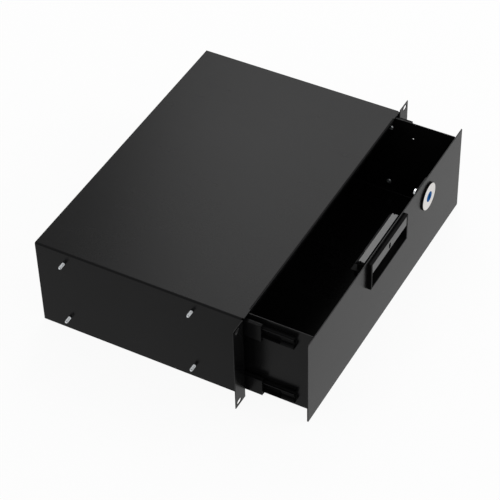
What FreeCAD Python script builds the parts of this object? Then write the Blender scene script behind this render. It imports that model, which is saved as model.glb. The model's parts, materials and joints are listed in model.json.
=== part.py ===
import FreeCAD, Part
import math
import os

# Sliding rack drawer, three rack units high.  Millimetres.
# X to the operator's right, Y from the front to the back, Z up.
# The origin is the centre of the four rack slots, on the plane where the ears bear on the rack.

Vector = FreeCAD.Vector

# Rack standard
rack_unit = 44.45
units_high = 3
unit_allowance = 0.85        # what the height leaves free in its units
ear_span = 482.6             # over both ears
slot_inset_x = 8.75          # from the ear's outer edge to the middle of a slot
slot_inset_z = 6.35          # from the edge of the rack space to the outer slots
slot_length = 10.3
slot_width = 6.8

# Case
ear_width = 24.3             # how far each ear reaches past the case's side
rear_space = 20.0            # slides' rear ends to the case's back face
case_sheet = 1.2
case_bend = 2.5              # outer bend radius
lip_height = 6.0             # bent-down front edge of the top, the catch for the latch
lip_end_gap = 3.5            # each end of the lip to the tray wall's inner face
lip_flange_gap = 0.6         # under the lip to the tray's front flanges
rear_sheet = 1.2
rear_flange = 12.0
base_flange = 8.0
base_flange_setback = 20.0

# Rear panel screws
rear_screw_low = 26.25       # above the case's lower edge
rear_screw_high = 36.25      # below the case's top
rear_screw_inset = 97.0      # the top ones, from the case's side
rear_screw_length = 8.0

# Slides
slide_length = 250.0
slide_height = 35.0
slide_depth = 12.7
slide_setback = 22.0         # ears' front face to the front of the closed members
slide_top_gap = 0.55         # case top's inner face to the upper slides
lower_slide_rise = 19.25     # case's lower edge to the lower slides' centre line
member_sheet = 1.2
member_bend = 0.96           # outer bend radius of a member
head_space = 2.2             # between the case member's web and the middle member's web
ball_diameter = 4.2
ball_clearance = 0.1
race_depth = 0.45            # how deep a ball lies in the race
case_flange_depth = 9.8
case_lip_drop = 3.9
middle_flange_depth = 6.0
inner_flange_depth = 7.3
outer_row_depth = 5.6        # wall to the ball row between case and middle members
inner_row_depth = 7.6        # wall to the ball row between middle and drawer members
retainer_sheet = 0.5
retainer_length = 90.0
retainer_start = 79.0        # from the members' front ends, drawer shut
outer_retainer_near = 1.8    # from the wall
outer_retainer_far = 8.3
inner_retainer_near = 5.0
inner_retainer_far = 10.6
balls_per_row = 5
stop_tab_depth = 2.8
stop_tab_height = 3.2
access_slot_length = 16.0
access_slot_width = 7.6
spare_hole_radius = 2.3
case_screw_front = 49.0      # from the members' front ends
case_screw_rear = 20.0       # from their rear ends
case_spare_front = 20.0
case_spare_middle = 112.0
case_spare_rear = 85.0
tray_screw_front = 69.0
tray_screw_rear = 35.0
tray_spare_front = 36.7
tray_spare_middle = 100.0
tray_spare_rear = 60.0

# Screws shared by the slides and the rear panel
screw_radius = 2.0
screw_head_radius = 3.7
screw_head_height = 1.7
screw_recess_radius = 1.3
screw_recess_depth = 1.0
screw_tip_chamfer = 0.5
screw_head_round = 0.45      # share of a screw head's height that is rounded
case_screw_length = 12.0
tray_screw_length = 5.0

# Detent bumpers at the front of the drawer members
bumper_length = 18.0
bumper_setback = 0.4
bumper_height = 13.2
bumper_groove = 4.8
bumper_back_gap = 0.2
bumper_tab_gap = 0.7         # beside the middle member's stop tab
bumper_mouth_edge = 1.5      # what is left of each prong's tip
bumper_mouth_depth = 1.8
bumper_corner = 0.8

# Release levers
lever_gap = 0.3
lever_length = 26.0
lever_height = 6.0
lever_pivot_back = 19.0
lever_pivot_radius = 1.4
lever_neck_height = 3.4
lever_play = 0.06
lever_web_gap = 0.6          # lever to the middle member's web

# Tray and front panel
panel_overhang = 3.5         # past the case's sides
panel_edge_gap = 0.5         # short of the case's top and bottom
panel_sheet = 1.5
panel_corner = 1.0
closed_gap = 0.6             # panel's back to the ears' front, drawer shut
rest_open = 85.5             # how far the drawer stands open as modelled
tray_extra = 25.0            # how much longer the tray is than its slides
tray_sheet = 1.2
tray_bend = 2.0
tray_bottom_gap = 0.75       # case's lower edge to the tray's underside
tray_top_gap = 0.45          # case top's inner face to the tray's rim
tray_flange = 12.0
corner_relief = 1.5
peek_hole_radius = 1.1
peek_hole_drop = 8.0
panel_stud_inset = 23.1      # lower studs: the outer one, from the tray's side
panel_stud_pitch = 110.0     # and the next one
panel_stud_drop = 19.6       # side studs: the upper one, below the tray's rim
panel_stud_spacing = 50.0    # and the next one
stud_radius = 2.0
stud_hole_clearance = 0.25
stud_length = 8.0
stud_head_radius = 3.0
stud_head_height = 0.6
nut_across_flats = 7.0
nut_height = 3.2

# Recessed pull handle
handle_offset = -8.6         # from the middle of the panel
bezel_width = 105.0
bezel_height = 42.0
bezel_top_inset = 4.0        # below the panel's top edge
bezel_proud = 5.0
bezel_side_border = 3.3
bezel_bottom_border = 2.8
bezel_top_border = 1.35
bezel_edge = 0.8
pocket_depth = 18.0
pocket_floor_depth = 5.0
pocket_slope_height = 12.0
housing_wall = 1.6
cutout_clearance = 0.2
deck_drop = 9.45             # bezel's top to the latch deck's top face
deck_overhang_left = 9.7
neck_depth = 3.3

# Latch tongue
tongue_left_reach = 55.2     # from the middle of the handle
tongue_length = 96.6
tongue_rise = 5.7            # deck to the tongue's underside
tongue_height = 6.75
tongue_flat_depth = 8.0
tongue_depth = 12.6
tongue_nose_height = 2.0
tongue_travel = 5.2
tongue_roof = 1.35           # sheet left over the arms
lip_clearance = 0.3
guide_clearance = 0.3
cheek_sheet = 1.6
cheek_depth = 7.0
cheek_height = 9.0
rib_size = 1.2
latch_pin_radius = 0.9
latch_pin_length = 15.0
latch_pin_depth = 11.0       # panel's front face to the cross pins
latch_pin_height = 2.0       # tongue's underside to the cross pins

# Paddle that the fingers pull
paddle_clearance = 0.3
paddle_sheet = 1.6
paddle_recess = 0.3
paddle_drop = 16.65          # bezel's top to the paddle's lower edge
paddle_top_drop = 1.2
paddle_lip_depth = 5.2
paddle_pin_radius = 1.0
paddle_knuckle_radius = 1.6
paddle_knuckle_length = 12.0
paddle_pin_depth = 2.2       # in front of the panel's front face
paddle_pin_seat = 2.0
paddle_play = 0.08
arm_left = 36.4              # from the middle of the handle
arm_right = 23.6
arm_width = 6.0
arm_gap = 0.5
arm_half_thickness = 1.2
arm_eye_radius = 1.9
arm_eye_play = 0.15
arm_eye_slack = 0.4
arm_floor_rise = 1.5         # deck to the floor of the arms' notches
knuckle_web_rise = 0.8       # above the pin's axis
sight_slot_width = 5.2
sight_slot_height = 8.8
sight_slot_drop = 10.55      # bezel's top to the slot's middle

# Latch springs
spring_left = 46.9           # from the middle of the handle
spring_right = 12.1
spring_radius = 2.1
spring_wire_radius = 0.3
spring_turns = 5.5
spring_pocket = 3.5
spring_pocket_radius = 2.7
spring_seat_radius = 1.3
spring_seat_height = 3.0
spring_depth = 9.0
spring_end_play = 0.05

# Clamps that hold the housing to the panel
clamp_sheet = 1.5
clamp_foot = 8.0
clamp_leg = 12.0
clamp_drop = 33.75           # bezel's top to the clamps' lower ends
clamp_height = 16.0
clamp_gap = 0.15
clamp_screw_radius = 1.3
clamp_screw_head_radius = 2.5
clamp_screw_head_height = 1.6

# Lock
lock_inset = 106.0           # from the panel's right edge
lock_drop = 32.75             # below the panel's top edge
collar_radius = 19.3
collar_height = 2.3
collar_edge = 0.4
face_radius = 18.7
face_thickness = 0.8
face_inset = 0.5
face_edge = 0.3
plug_front_radius = 7.25
plug_front_play = 0.1
plug_proud = 0.2
plug_radius = 6.0
plug_play = 0.05
plug_shoulder = 1.0
key_slot_width = 2.0
key_slot_height = 9.0
key_slot_depth = 6.0
barrel_radius = 9.5
barrel_flange_radius = 13.0
barrel_flange_height = 1.0
barrel_length = 12.5         # panel's front face to the barrel's end
barrel_hole_clearance = 0.15
lock_nut_across_flats = 24.0
lock_nut_height = 4.0
cam_gap = 0.3
cam_sheet = 2.0
cam_hub_radius = 7.0
cam_width = 10.0
cam_reach = 30.75
tail_square = 7.0
cam_screw_depth = 8.0
cam_screw_across_flats = 7.0
cam_screw_head_height = 2.8
cam_washer_radius = 4.6
cam_washer_sheet = 0.8

# Strike for the lock cam, under the case top
strike_sheet = 1.5
strike_width = 28.0
strike_drop = 7.0
strike_foot = 7.0
strike_clearance = 0.5
strike_bend = 1.35

# Modelling allowances
root = 0.5                   # how far a piece runs into the one it grows from
past = 1.0                   # how far a cutter runs past what it cuts
hair = 0.001                 # how far a cutter runs past a face it ends on
tolerance = 0.000001

# Worked out from the sizes above
case_width = ear_span - 2 * ear_width
case_depth = slide_setback + slide_length + rear_space
case_height = rack_unit * units_high - unit_allowance
case_half = case_width / 2
case_top = case_height / 2
case_bottom = -case_height / 2
case_inner = case_half - case_sheet
case_inner_top = case_top - case_sheet
slot_spacing_x = ear_span - 2 * slot_inset_x
slot_spacing_z = rack_unit * units_high - 2 * slot_inset_z
ear_front = -case_sheet
case_back = ear_front + case_depth
shell_back = case_back - rear_sheet
members_front = ear_front + slide_setback
upper_slide_z = case_inner_top - slide_top_gap - slide_height / 2
lower_slide_z = case_bottom + lower_slide_rise
case_screw_stations = (case_screw_front, slide_length - case_screw_rear)
case_spare_stations = (case_spare_front, case_spare_middle, slide_length - case_spare_rear)
tray_screw_stations = (tray_screw_front, slide_length - tray_screw_rear)
tray_spare_stations = (tray_spare_front, tray_spare_middle, slide_length - tray_spare_rear)
tray_half = case_inner - slide_depth
tray_inner = tray_half - tray_sheet
tray_bottom = case_bottom + tray_bottom_gap
tray_top = case_inner_top - tray_top_gap
tray_length = slide_length + tray_extra
panel_width = case_width + 2 * panel_overhang
panel_height = case_height - 2 * panel_edge_gap
shut_front = ear_front - closed_gap - panel_sheet
front = shut_front - rest_open
panel_back = front + panel_sheet
full_travel = slide_length
ball_radius = ball_diameter / 2
race_radius = ball_radius + ball_clearance
race_reach = race_radius - race_depth
case_web_face = member_sheet
middle_web = member_sheet + head_space
middle_web_face = middle_web + member_sheet
inner_web_face = slide_depth - member_sheet
case_flange_face = slide_height / 2 - member_sheet
outer_row_height = case_flange_face - race_reach
middle_flange_top = outer_row_height - race_reach
middle_flange_face = middle_flange_top - member_sheet
inner_row_height = middle_flange_face - race_reach
inner_flange_top = inner_row_height - race_reach
handle_x = handle_offset
bezel_top = panel_height / 2 - bezel_top_inset
bezel_bottom = bezel_top - bezel_height
deck_top = bezel_top - deck_drop
paddle_bottom = bezel_top - paddle_drop
sight_slot_z = bezel_top - sight_slot_drop
clamp_bottom = bezel_top - clamp_drop
lock_x = panel_width / 2 - lock_inset
lock_z = panel_height / 2 - lock_drop
pocket_left = handle_x - bezel_width / 2 + bezel_side_border
pocket_right = handle_x + bezel_width / 2 - bezel_side_border
pocket_bottom = bezel_bottom + bezel_bottom_border
opening_top = bezel_top - bezel_top_border
housing_left = pocket_left - housing_wall
housing_right = pocket_right + housing_wall
housing_bottom = pocket_bottom - housing_wall
neck_top = opening_top - 2 * cutout_clearance
bezel_front = front - bezel_proud
tongue_left = handle_x - tongue_left_reach
tongue_bottom = deck_top + tongue_rise
tongue_front = panel_back + closed_gap + case_sheet + lip_clearance
tongue_right = tongue_left + tongue_length
latch_pin_y = front + latch_pin_depth
latch_pin_z = tongue_bottom + latch_pin_height
paddle_pin_y = front - paddle_pin_depth
paddle_pin_z = latch_pin_z - tongue_travel / 2

slide_sides = {"left": -1, "right": 1}
slide_levels = {"upper": upper_slide_z, "lower": lower_slide_z}
ALONG_X = Vector(1, 0, 0)
ALONG_Y = Vector(0, 1, 0)
ALONG_Z = Vector(0, 0, 1)


def block(x_range, y_range, z_range):
    """Box between two corners."""
    size = [pair[1] - pair[0] for pair in (x_range, y_range, z_range)]
    return Part.makeBox(size[0], size[1], size[2], Vector(x_range[0], y_range[0], z_range[0]))


def rod(radius, start, end):
    """Cylinder between two points."""
    axis = end - start
    return Part.makeCylinder(radius, axis.Length, start, axis)


def prism(points, direction):
    """Polygon carried along a direction."""
    wire = Part.makePolygon(list(points) + [points[0]])
    return Part.Face(wire).extrude(direction)


def prism_yz(points, x_range):
    """Polygon of (y, z) points carried along X."""
    corners = [Vector(x_range[0], y, z) for y, z in points]
    return prism(corners, Vector(x_range[1] - x_range[0], 0, 0))


def prism_xz(points, y_range):
    """Polygon of (x, z) points carried along Y."""
    corners = [Vector(x, y_range[0], z) for x, z in points]
    return prism(corners, Vector(0, y_range[1] - y_range[0], 0))


def hexagon(across_flats, start, length):
    """Hexagonal bar along Y."""
    reach = across_flats / math.sqrt(3)
    angles = [math.radians(60 * index) for index in range(6)]
    points = [(start.x + reach * math.cos(a), start.z + reach * math.sin(a)) for a in angles]
    return prism_xz(points, (start.y, start.y + length))


def rounded(shape, radius, chosen):
    """Fillet of the edges that a test picks."""
    edges = [edge for edge in shape.Edges if chosen(edge)]
    return shape.makeFillet(radius, edges)


def runs_along(edge, direction):
    """True for a straight edge parallel to a direction."""
    if len(edge.Vertexes) != 2:
        return False
    span = edge.Vertexes[1].Point - edge.Vertexes[0].Point
    return abs(abs(span.dot(direction)) - span.Length) < tolerance


def slot_along(direction, length, width, centre, depth_axis, depth):
    """Round-ended slot, its length along a direction, cut through a depth."""
    half = direction * ((length - width) / 2)
    base = centre - depth_axis * (depth / 2)
    ends = [Part.makeCylinder(width / 2, depth, base + half * sign, depth_axis) for sign in (-1, 1)]
    across = depth_axis.cross(direction) * (width / 2)
    corners = [base - half - across, base + half - across, base + half + across, base - half + across]
    return prism(corners, depth_axis * depth).fuse(ends)


def screw(head_point, inward, length, radius, head_radius, head_height):
    """Pan-head screw: head at its seat, shank along a direction, with a round recess."""
    top = head_point - inward * head_height
    head = Part.makeCylinder(head_radius, head_height, top, inward)
    head = rounded(head, head_height * screw_head_round, lambda edge: is_rim(edge, top))
    shank = Part.makeCylinder(radius, length - screw_tip_chamfer, head_point, inward)
    tip_start = head_point + inward * (length - screw_tip_chamfer)
    tip = Part.makeCone(radius, radius - screw_tip_chamfer, screw_tip_chamfer, tip_start, inward)
    recess = Part.makeCylinder(screw_recess_radius, screw_recess_depth, top, inward)
    return head.fuse([shank, tip]).removeSplitter().cut(recess)


def is_rim(edge, centre):
    """True for a circle about a centre."""
    return isinstance(edge.Curve, Part.Circle) and (edge.Curve.Center - centre).Length < tolerance


def save(name, *solids):
    """One STEP file for a node, as one solid or a group of separate ones."""
    shape = solids[0] if len(solids) == 1 else Part.makeCompound(list(solids))
    shape.exportStep("parts/" + name + ".step")


# Case

def case_profile():
    """Top and both sides as one folded sheet, in the XZ plane."""
    def outline(half, top, radius, bottom):
        bend = radius * (1 - math.sqrt(0.5))
        left_bend = Part.Arc(Vector(-half, 0, top - radius), Vector(-half + bend, 0, top - bend),
                             Vector(-half + radius, 0, top))
        right_bend = Part.Arc(Vector(half - radius, 0, top), Vector(half - bend, 0, top - bend),
                              Vector(half, 0, top - radius))
        return [
            Part.makeLine(Vector(-half, 0, bottom), Vector(-half, 0, top - radius)),
            left_bend.toShape(),
            Part.makeLine(Vector(-half + radius, 0, top), Vector(half - radius, 0, top)),
            right_bend.toShape(),
            Part.makeLine(Vector(half, 0, top - radius), Vector(half, 0, bottom)),
        ]
    outer = outline(case_half, case_top, case_bend, case_bottom)
    inner = outline(case_inner, case_inner_top, case_bend - case_sheet, case_bottom)
    feet = [Part.makeLine(Vector(side * case_half, 0, case_bottom),
                          Vector(side * case_inner, 0, case_bottom)) for side in (-1, 1)]
    edges = Part.sortEdges(outer + inner + feet)[0]
    return Part.Face(Part.Wire(edges))


def ear_corner():
    """Left ear with its bend into the side wall, carried up to the top bend."""
    inner_radius = case_bend - case_sheet
    turn = ear_front + case_bend
    bend = case_bend * (1 - math.sqrt(0.5))
    inner_bend = inner_radius * (1 - math.sqrt(0.5))
    outer_arc = Part.Arc(Vector(-case_inner, turn, 0), Vector(-case_inner - bend, ear_front + bend, 0),
                         Vector(-case_inner - case_bend, ear_front, 0))
    inner_arc = Part.Arc(Vector(-case_half - inner_radius, 0, 0),
                         Vector(-case_half - inner_bend, inner_bend, 0),
                         Vector(-case_half, inner_radius, 0))
    tip = -ear_span / 2
    edges = [
        outer_arc.toShape(),
        Part.makeLine(Vector(-case_inner - case_bend, ear_front, 0), Vector(tip, ear_front, 0)),
        Part.makeLine(Vector(tip, ear_front, 0), Vector(tip, 0, 0)),
        Part.makeLine(Vector(tip, 0, 0), Vector(-case_half - inner_radius, 0, 0)),
        inner_arc.toShape(),
        Part.makeLine(Vector(-case_half, turn, 0), Vector(-case_inner, turn, 0)),
    ]
    profile = Part.Face(Part.Wire(Part.sortEdges(edges)[0]))
    low = profile.translated(Vector(0, 0, case_bottom)).extrude(Vector(0, 0, case_height - case_bend))
    ear_top = block((tip, -case_half - inner_radius), (ear_front, 0), (case_top - case_bend, case_top))
    return low.fuse(ear_top).removeSplitter()


def case_shell():
    """Top, sides, ears, front lip, base and rear flanges of the case."""
    turn = ear_front + case_bend
    walls = case_profile().translated(Vector(0, turn, 0)).extrude(Vector(0, shell_back - turn, 0))
    flat = case_half - case_bend
    lip_half = tray_inner - lip_end_gap
    lip = block((-lip_half, lip_half), (ear_front, turn + past), (case_top - lip_height, case_top))
    lip = lip.cut(block((-case_half, case_half), (0, case_half), (case_bottom, case_inner_top)))
    lip = rounded(lip, case_bend, lambda edge: runs_along(edge, ALONG_X)
                  and abs(edge.CenterOfMass.y - ear_front) < tolerance
                  and abs(edge.CenterOfMass.z - case_top) < tolerance)
    ear = ear_corner()
    pieces = [lip, ear, ear.mirror(Vector(), ALONG_X)]
    for side in (-1, 1):
        edge_x = sorted((side * lip_half, side * flat))
        pieces.append(block(edge_x, (ear_front, turn + past), (case_inner_top, case_top)))
        wall_x = sorted((side * (case_half - case_sheet / 2), side * (case_half - rear_flange)))
        foot_x = sorted((side * (case_half - case_sheet / 2), side * (case_half - base_flange)))
        pieces.append(block(wall_x, (shell_back - case_sheet, shell_back),
                            (case_bottom, case_top - rear_flange - past)))
        pieces.append(block(foot_x, (ear_front + base_flange_setback, shell_back - case_sheet),
                            (case_bottom, case_bottom + case_sheet)))
    pieces.append(block((-case_half + rear_flange, case_half - rear_flange),
                        (shell_back - case_sheet, shell_back),
                        (case_top - rear_flange, case_top - case_sheet / 2)))
    shell = walls.fuse(pieces).removeSplitter()
    through = ALONG_X * (case_sheet + past)
    cuts = []
    for x, z in rack_slots():
        cuts.append(slot_along(ALONG_X, slot_length, slot_width, Vector(x, -case_sheet / 2, z),
                               ALONG_Y, 3 * case_sheet))
    for side in (-1, 1):
        for z in slide_levels.values():
            for station in case_screw_stations:
                centre = Vector(side * case_half, members_front + station, z)
                cuts.append(rod(screw_radius, centre - through, centre + through))
    cuts.extend(rear_screw_holes(shell_back - 2 * case_sheet, shell_back))
    return shell.cut(cuts)


def rack_slots():
    """Centres of the four slots in the ears."""
    return [(sx * slot_spacing_x / 2, sz * slot_spacing_z / 2) for sx in (-1, 1) for sz in (-1, 1)]


def rear_screw_places():
    """Where the screws hold the rear panel on the case's flanges."""
    side_x = case_half - case_sheet - (rear_flange - case_sheet) / 2
    top_z = case_top - case_sheet - (rear_flange - case_sheet) / 2
    heights = (case_bottom + rear_screw_low, case_top - rear_screw_high)
    places = [(side * side_x, z) for side in (-1, 1) for z in heights]
    return places + [(side * (case_half - rear_screw_inset), top_z) for side in (-1, 1)]


def rear_screw_holes(start, end):
    """Cutters for the rear panel's screws."""
    return [rod(screw_radius, Vector(x, start, z), Vector(x, end, z)) for x, z in rear_screw_places()]


def rear_panel():
    """Flat back plate with a forward fold along its lower edge."""
    plate = block((-case_half, case_half), (shell_back, case_back), (case_bottom, case_top))
    plate = rounded(plate, case_bend, lambda edge: runs_along(edge, ALONG_Y)
                    and edge.CenterOfMass.z > 0)
    fold_half = case_half - rear_flange - past
    fold = block((-fold_half, fold_half), (shell_back - rear_flange, case_back - rear_sheet / 2),
                 (case_bottom, case_bottom + rear_sheet))
    panel = plate.fuse(fold).removeSplitter()
    return panel.cut(rear_screw_holes(shell_back - past, case_back + past))


def lock_strike():
    """Angle under the case top that the lock's cam turns behind."""
    leg_back = shut_front + barrel_length + cam_gap - strike_clearance
    leg_front = leg_back - strike_sheet
    x_range = (lock_x - strike_width / 2, lock_x + strike_width / 2)
    foot = block(x_range, (leg_front - strike_foot, leg_back),
                 (case_inner_top - strike_sheet, case_inner_top))
    leg = block(x_range, (leg_front, leg_back), (case_inner_top - strike_drop, case_inner_top))
    angle = foot.fuse(leg).removeSplitter()
    return rounded(angle, strike_bend, lambda edge: runs_along(edge, ALONG_X)
                   and abs(edge.CenterOfMass.y - leg_back) < tolerance
                   and abs(edge.CenterOfMass.z - case_inner_top) < tolerance)


# Slides.  Built with x from the case wall towards the drawer, y from the members' front ends
# and z from the slide's centre line, for the left wall, and mirrored for the right wall.

def placed(shape, side, level, share):
    """Slide piece on its wall, moved by its share of how far the drawer stands open."""
    shape = shape.translated(Vector(-case_inner, members_front - share * rest_open, slide_levels[level]))
    return shape.mirror(Vector(), ALONG_X) if slide_sides[side] > 0 else shape


def channel(web, flange_top, tip, length):
    """C-section: a web and two flanges with rounded bends."""
    web_x = (web, web + member_sheet)
    tip_x = (min(web, tip), max(web + member_sheet, tip))
    body = block(tip_x, (0, length), (-flange_top, flange_top))
    hollow_x = (web_x[1], tip_x[1] + past) if tip > web else (tip_x[0] - past, web_x[0])
    flange_face = flange_top - member_sheet
    body = body.cut(block(hollow_x, (-past, length + past), (-flange_face, flange_face)))
    outside = web if tip > web else web + member_sheet
    return rounded(body, member_bend, lambda edge: runs_along(edge, ALONG_Y)
                   and abs(edge.CenterOfMass.x - outside) < tolerance)


def races(row_depth, row_height, length):
    """Cutters for the upper and lower ball races."""
    starts = [Vector(row_depth, -past, sign * row_height) for sign in (-1, 1)]
    return [rod(race_radius, start, start + ALONG_Y * (length + 2 * past)) for start in starts]


def web_holes(web, stations, radius):
    """Round holes through a member's web."""
    return [rod(radius, Vector(web - past, station, 0), Vector(web + member_sheet + past, station, 0))
            for station in stations]


def case_member():
    """Fixed outer member with lips over the outer ball rows."""
    body = channel(0, slide_height / 2, case_flange_depth, slide_length)
    lips = []
    for sign in (-1, 1):
        z_range = sorted((sign * slide_height / 2, sign * (slide_height / 2 - case_lip_drop)))
        lips.append(block((case_flange_depth - member_sheet, case_flange_depth),
                          (0, slide_length), z_range))
    body = body.fuse(lips).removeSplitter()
    cuts = races(outer_row_depth, outer_row_height, slide_length)
    cuts += web_holes(0, case_screw_stations, screw_radius)
    cuts += web_holes(0, case_spare_stations, spare_hole_radius)
    return body.cut(cuts)


def middle_member():
    """Middle member that runs half as far as the drawer, with a stop tab at its front."""
    body = channel(middle_web, middle_flange_top, middle_web + middle_flange_depth, slide_length)
    tab = block((middle_web_face - member_sheet / 2, middle_web_face + stop_tab_depth), (0, member_sheet),
                (-stop_tab_height / 2, stop_tab_height / 2))
    body = body.fuse(tab).removeSplitter()
    cuts = races(outer_row_depth, outer_row_height, slide_length)
    cuts += races(inner_row_depth, inner_row_height, slide_length)
    for station in case_screw_stations:
        cuts.append(slot_along(ALONG_Y, access_slot_length, access_slot_width,
                               Vector(middle_web, station, 0), ALONG_X, 4 * member_sheet))
    return body.cut(cuts)


def drawer_member():
    """Inner member fixed to the tray wall."""
    body = channel(inner_web_face, inner_flange_top, slide_depth - inner_flange_depth, slide_length)
    cuts = races(inner_row_depth, inner_row_height, slide_length)
    cuts += web_holes(inner_web_face, tray_screw_stations, screw_radius)
    cuts += web_holes(inner_web_face, tray_spare_stations, spare_hole_radius)
    cuts += web_holes(inner_web_face, [lever_station()], lever_pivot_radius)
    return body.cut(cuts)


def ball_stations():
    """Evenly spaced places of the balls along a retainer."""
    pitch = retainer_length / balls_per_row
    return [retainer_start + pitch * (index + 0.5) for index in range(balls_per_row)]


def retainers(span, row_depth, row_height):
    """Upper and lower strips with a pocket for each ball."""
    strips = []
    for sign in (-1, 1):
        height = sign * row_height
        strip = block(span, (retainer_start, retainer_start + retainer_length),
                      (height - retainer_sheet / 2, height + retainer_sheet / 2))
        pockets = [rod(race_radius, Vector(row_depth, station, height - past),
                       Vector(row_depth, station, height + past)) for station in ball_stations()]
        strips.append(strip.cut(pockets))
    return Part.makeCompound(strips)


def balls(row_depth, row_height):
    """Bearing balls of one row pair."""
    centres = [Vector(row_depth, station, sign * row_height)
               for sign in (-1, 1) for station in ball_stations()]
    return Part.makeCompound([Part.makeSphere(ball_radius, centre) for centre in centres])


def detent_bumper():
    """Forked plastic piece in the front end of the drawer member."""
    tip = slide_depth - inner_flange_depth
    back = inner_web_face - bumper_back_gap
    half = bumper_height / 2
    body = block((tip, back), (bumper_setback, bumper_length), (-half, half))
    groove = block((tip - past, middle_web_face + stop_tab_depth + bumper_tab_gap),
                   (0, bumper_length + past), (-bumper_groove / 2, bumper_groove / 2))
    prong = half - bumper_mouth_edge
    mouth = prism_xz([(tip - past, -prong), (tip + bumper_mouth_depth, -bumper_groove / 2),
                      (tip + bumper_mouth_depth, bumper_groove / 2), (tip - past, prong)],
                     (0, bumper_length + past))
    body = body.cut([groove, mouth])
    return rounded(body, bumper_corner, lambda edge: runs_along(edge, ALONG_X)
                   and abs(edge.CenterOfMass.z) > half - tolerance)


def lever_station():
    """Pivot of the release lever, from the drawer member's front end."""
    stop = full_travel / 2 + member_sheet + lever_gap
    return stop + lever_pivot_back


def release_lever():
    """Plastic lever whose nose meets the middle member's stop tab at full travel."""
    stop = full_travel / 2 + member_sheet + lever_gap
    depth = (middle_web_face + lever_web_gap, inner_web_face - bumper_back_gap)
    half = lever_height / 2
    neck = lever_neck_height / 2
    pivot = lever_station()
    nose = block(depth, (stop, stop + lever_height), (-half, half))
    arm = block(depth, (stop + lever_height / 2, stop + lever_length), (-neck, neck))
    hub = rod(half, Vector(depth[0], pivot, 0), Vector(depth[1], pivot, 0))
    body = nose.fuse([arm, hub]).removeSplitter()
    return body.cut(rod(lever_pivot_radius + lever_play, Vector(0, pivot, 0),
                        Vector(slide_depth, pivot, 0)))


def lever_pin():
    """Rivet that the release lever turns on."""
    start = Vector(middle_web_face + lever_web_gap, lever_station(), 0)
    return rod(lever_pivot_radius, start, Vector(slide_depth, lever_station(), 0))


def case_slide_screws():
    """Screws from inside each case member, their ends standing out of the case."""
    seats = [Vector(case_web_face, station, 0) for station in case_screw_stations]
    return [screw(seat, -ALONG_X, case_screw_length, screw_radius, screw_head_radius, screw_head_height)
            for seat in seats]


def tray_slide_screws():
    """Screws from inside the tray into each drawer member."""
    seats = [Vector(slide_depth + tray_sheet, station, 0) for station in tray_screw_stations]
    return [screw(seat, -ALONG_X, tray_screw_length, screw_radius, screw_head_radius, screw_head_height)
            for seat in seats]


# Drawer

def tray():
    """Folded tray with a rear wall and flanges behind the front panel."""
    back = panel_back + tray_length
    outer = block((-tray_half, tray_half), (panel_back, back), (tray_bottom, tray_top))
    outer = rounded(outer, tray_bend, lambda edge: edge.CenterOfMass.z < 0 and (
        abs(abs(edge.CenterOfMass.x) - tray_half) < tolerance
        or abs(edge.CenterOfMass.y - back) < tolerance))
    inner = block((-tray_inner, tray_inner), (panel_back + tray_sheet, back - tray_sheet),
                  (tray_bottom + tray_sheet, tray_top + past))
    inner = rounded(inner, tray_bend - tray_sheet,
                    lambda edge: edge.CenterOfMass.z < tray_bottom + tray_sheet + tolerance)
    flange_y = (panel_back - past, panel_back + tray_sheet + hair)
    window = block((-tray_half + tray_flange, tray_half - tray_flange), flange_y,
                   (tray_bottom + tray_flange, tray_top + past))
    lip_notch = block((-tray_inner, tray_inner), flange_y,
                      (case_top - lip_height - lip_flange_gap, tray_top + past))
    body = outer.cut([inner, window, lip_notch])
    cuts = [rod(stud_radius + stud_hole_clearance, Vector(x, panel_back - past, z),
                Vector(x, panel_back + tray_sheet + past, z)) for x, z in panel_stud_places()]
    shift = members_front - rest_open
    through = ALONG_X * (tray_sheet + past)
    for side in (-1, 1):
        for z in slide_levels.values():
            for station in tray_screw_stations:
                centre = Vector(side * tray_half, shift + station, z)
                cuts.append(rod(screw_radius, centre - through, centre + through))
        peek = Vector(side * tray_half, shift + tray_spare_stations[0], upper_slide_z - peek_hole_drop)
        cuts.append(rod(peek_hole_radius, peek - through, peek + through))
        corner = Vector(side * (tray_half - tray_bend / 2), panel_back + corner_relief, tray_bottom - past)
        cuts.append(rod(corner_relief, corner, corner + ALONG_Z * (2 * corner_relief + past)))
    return body.cut(cuts)


def panel_stud_places():
    """Studs behind the front panel, along the tray's bottom and side flanges."""
    low = tray_bottom + tray_sheet + (tray_flange - tray_sheet) / 2
    side_x = tray_half - tray_sheet - (tray_flange - tray_sheet) / 2
    outer = tray_half - panel_stud_inset
    upper = tray_top - panel_stud_drop
    places = [(side * x, low) for side in (-1, 1) for x in (outer - panel_stud_pitch, outer)]
    return places + [(side * side_x, z) for side in (-1, 1) for z in (upper - panel_stud_spacing, upper)]


def front_panel():
    """Flat front with the handle's opening, the lock's hole and seats for the studs."""
    half_width = panel_width / 2
    half_height = panel_height / 2
    plate = block((-half_width, half_width), (front, panel_back), (-half_height, half_height))
    plate = rounded(plate, panel_corner, lambda edge: runs_along(edge, ALONG_Y))
    cuts = [block((housing_left - cutout_clearance, housing_right + cutout_clearance),
                  (front - past, panel_back + past),
                  (housing_bottom - cutout_clearance, neck_top + cutout_clearance))]
    cuts.append(rod(barrel_radius + barrel_hole_clearance, Vector(lock_x, front - past, lock_z),
                    Vector(lock_x, panel_back + past, lock_z)))
    for x, z in panel_stud_places():
        cuts.append(rod(stud_head_radius, Vector(x, panel_back - stud_head_height, z),
                        Vector(x, panel_back + past, z)))
    return plate.cut(cuts)


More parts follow.
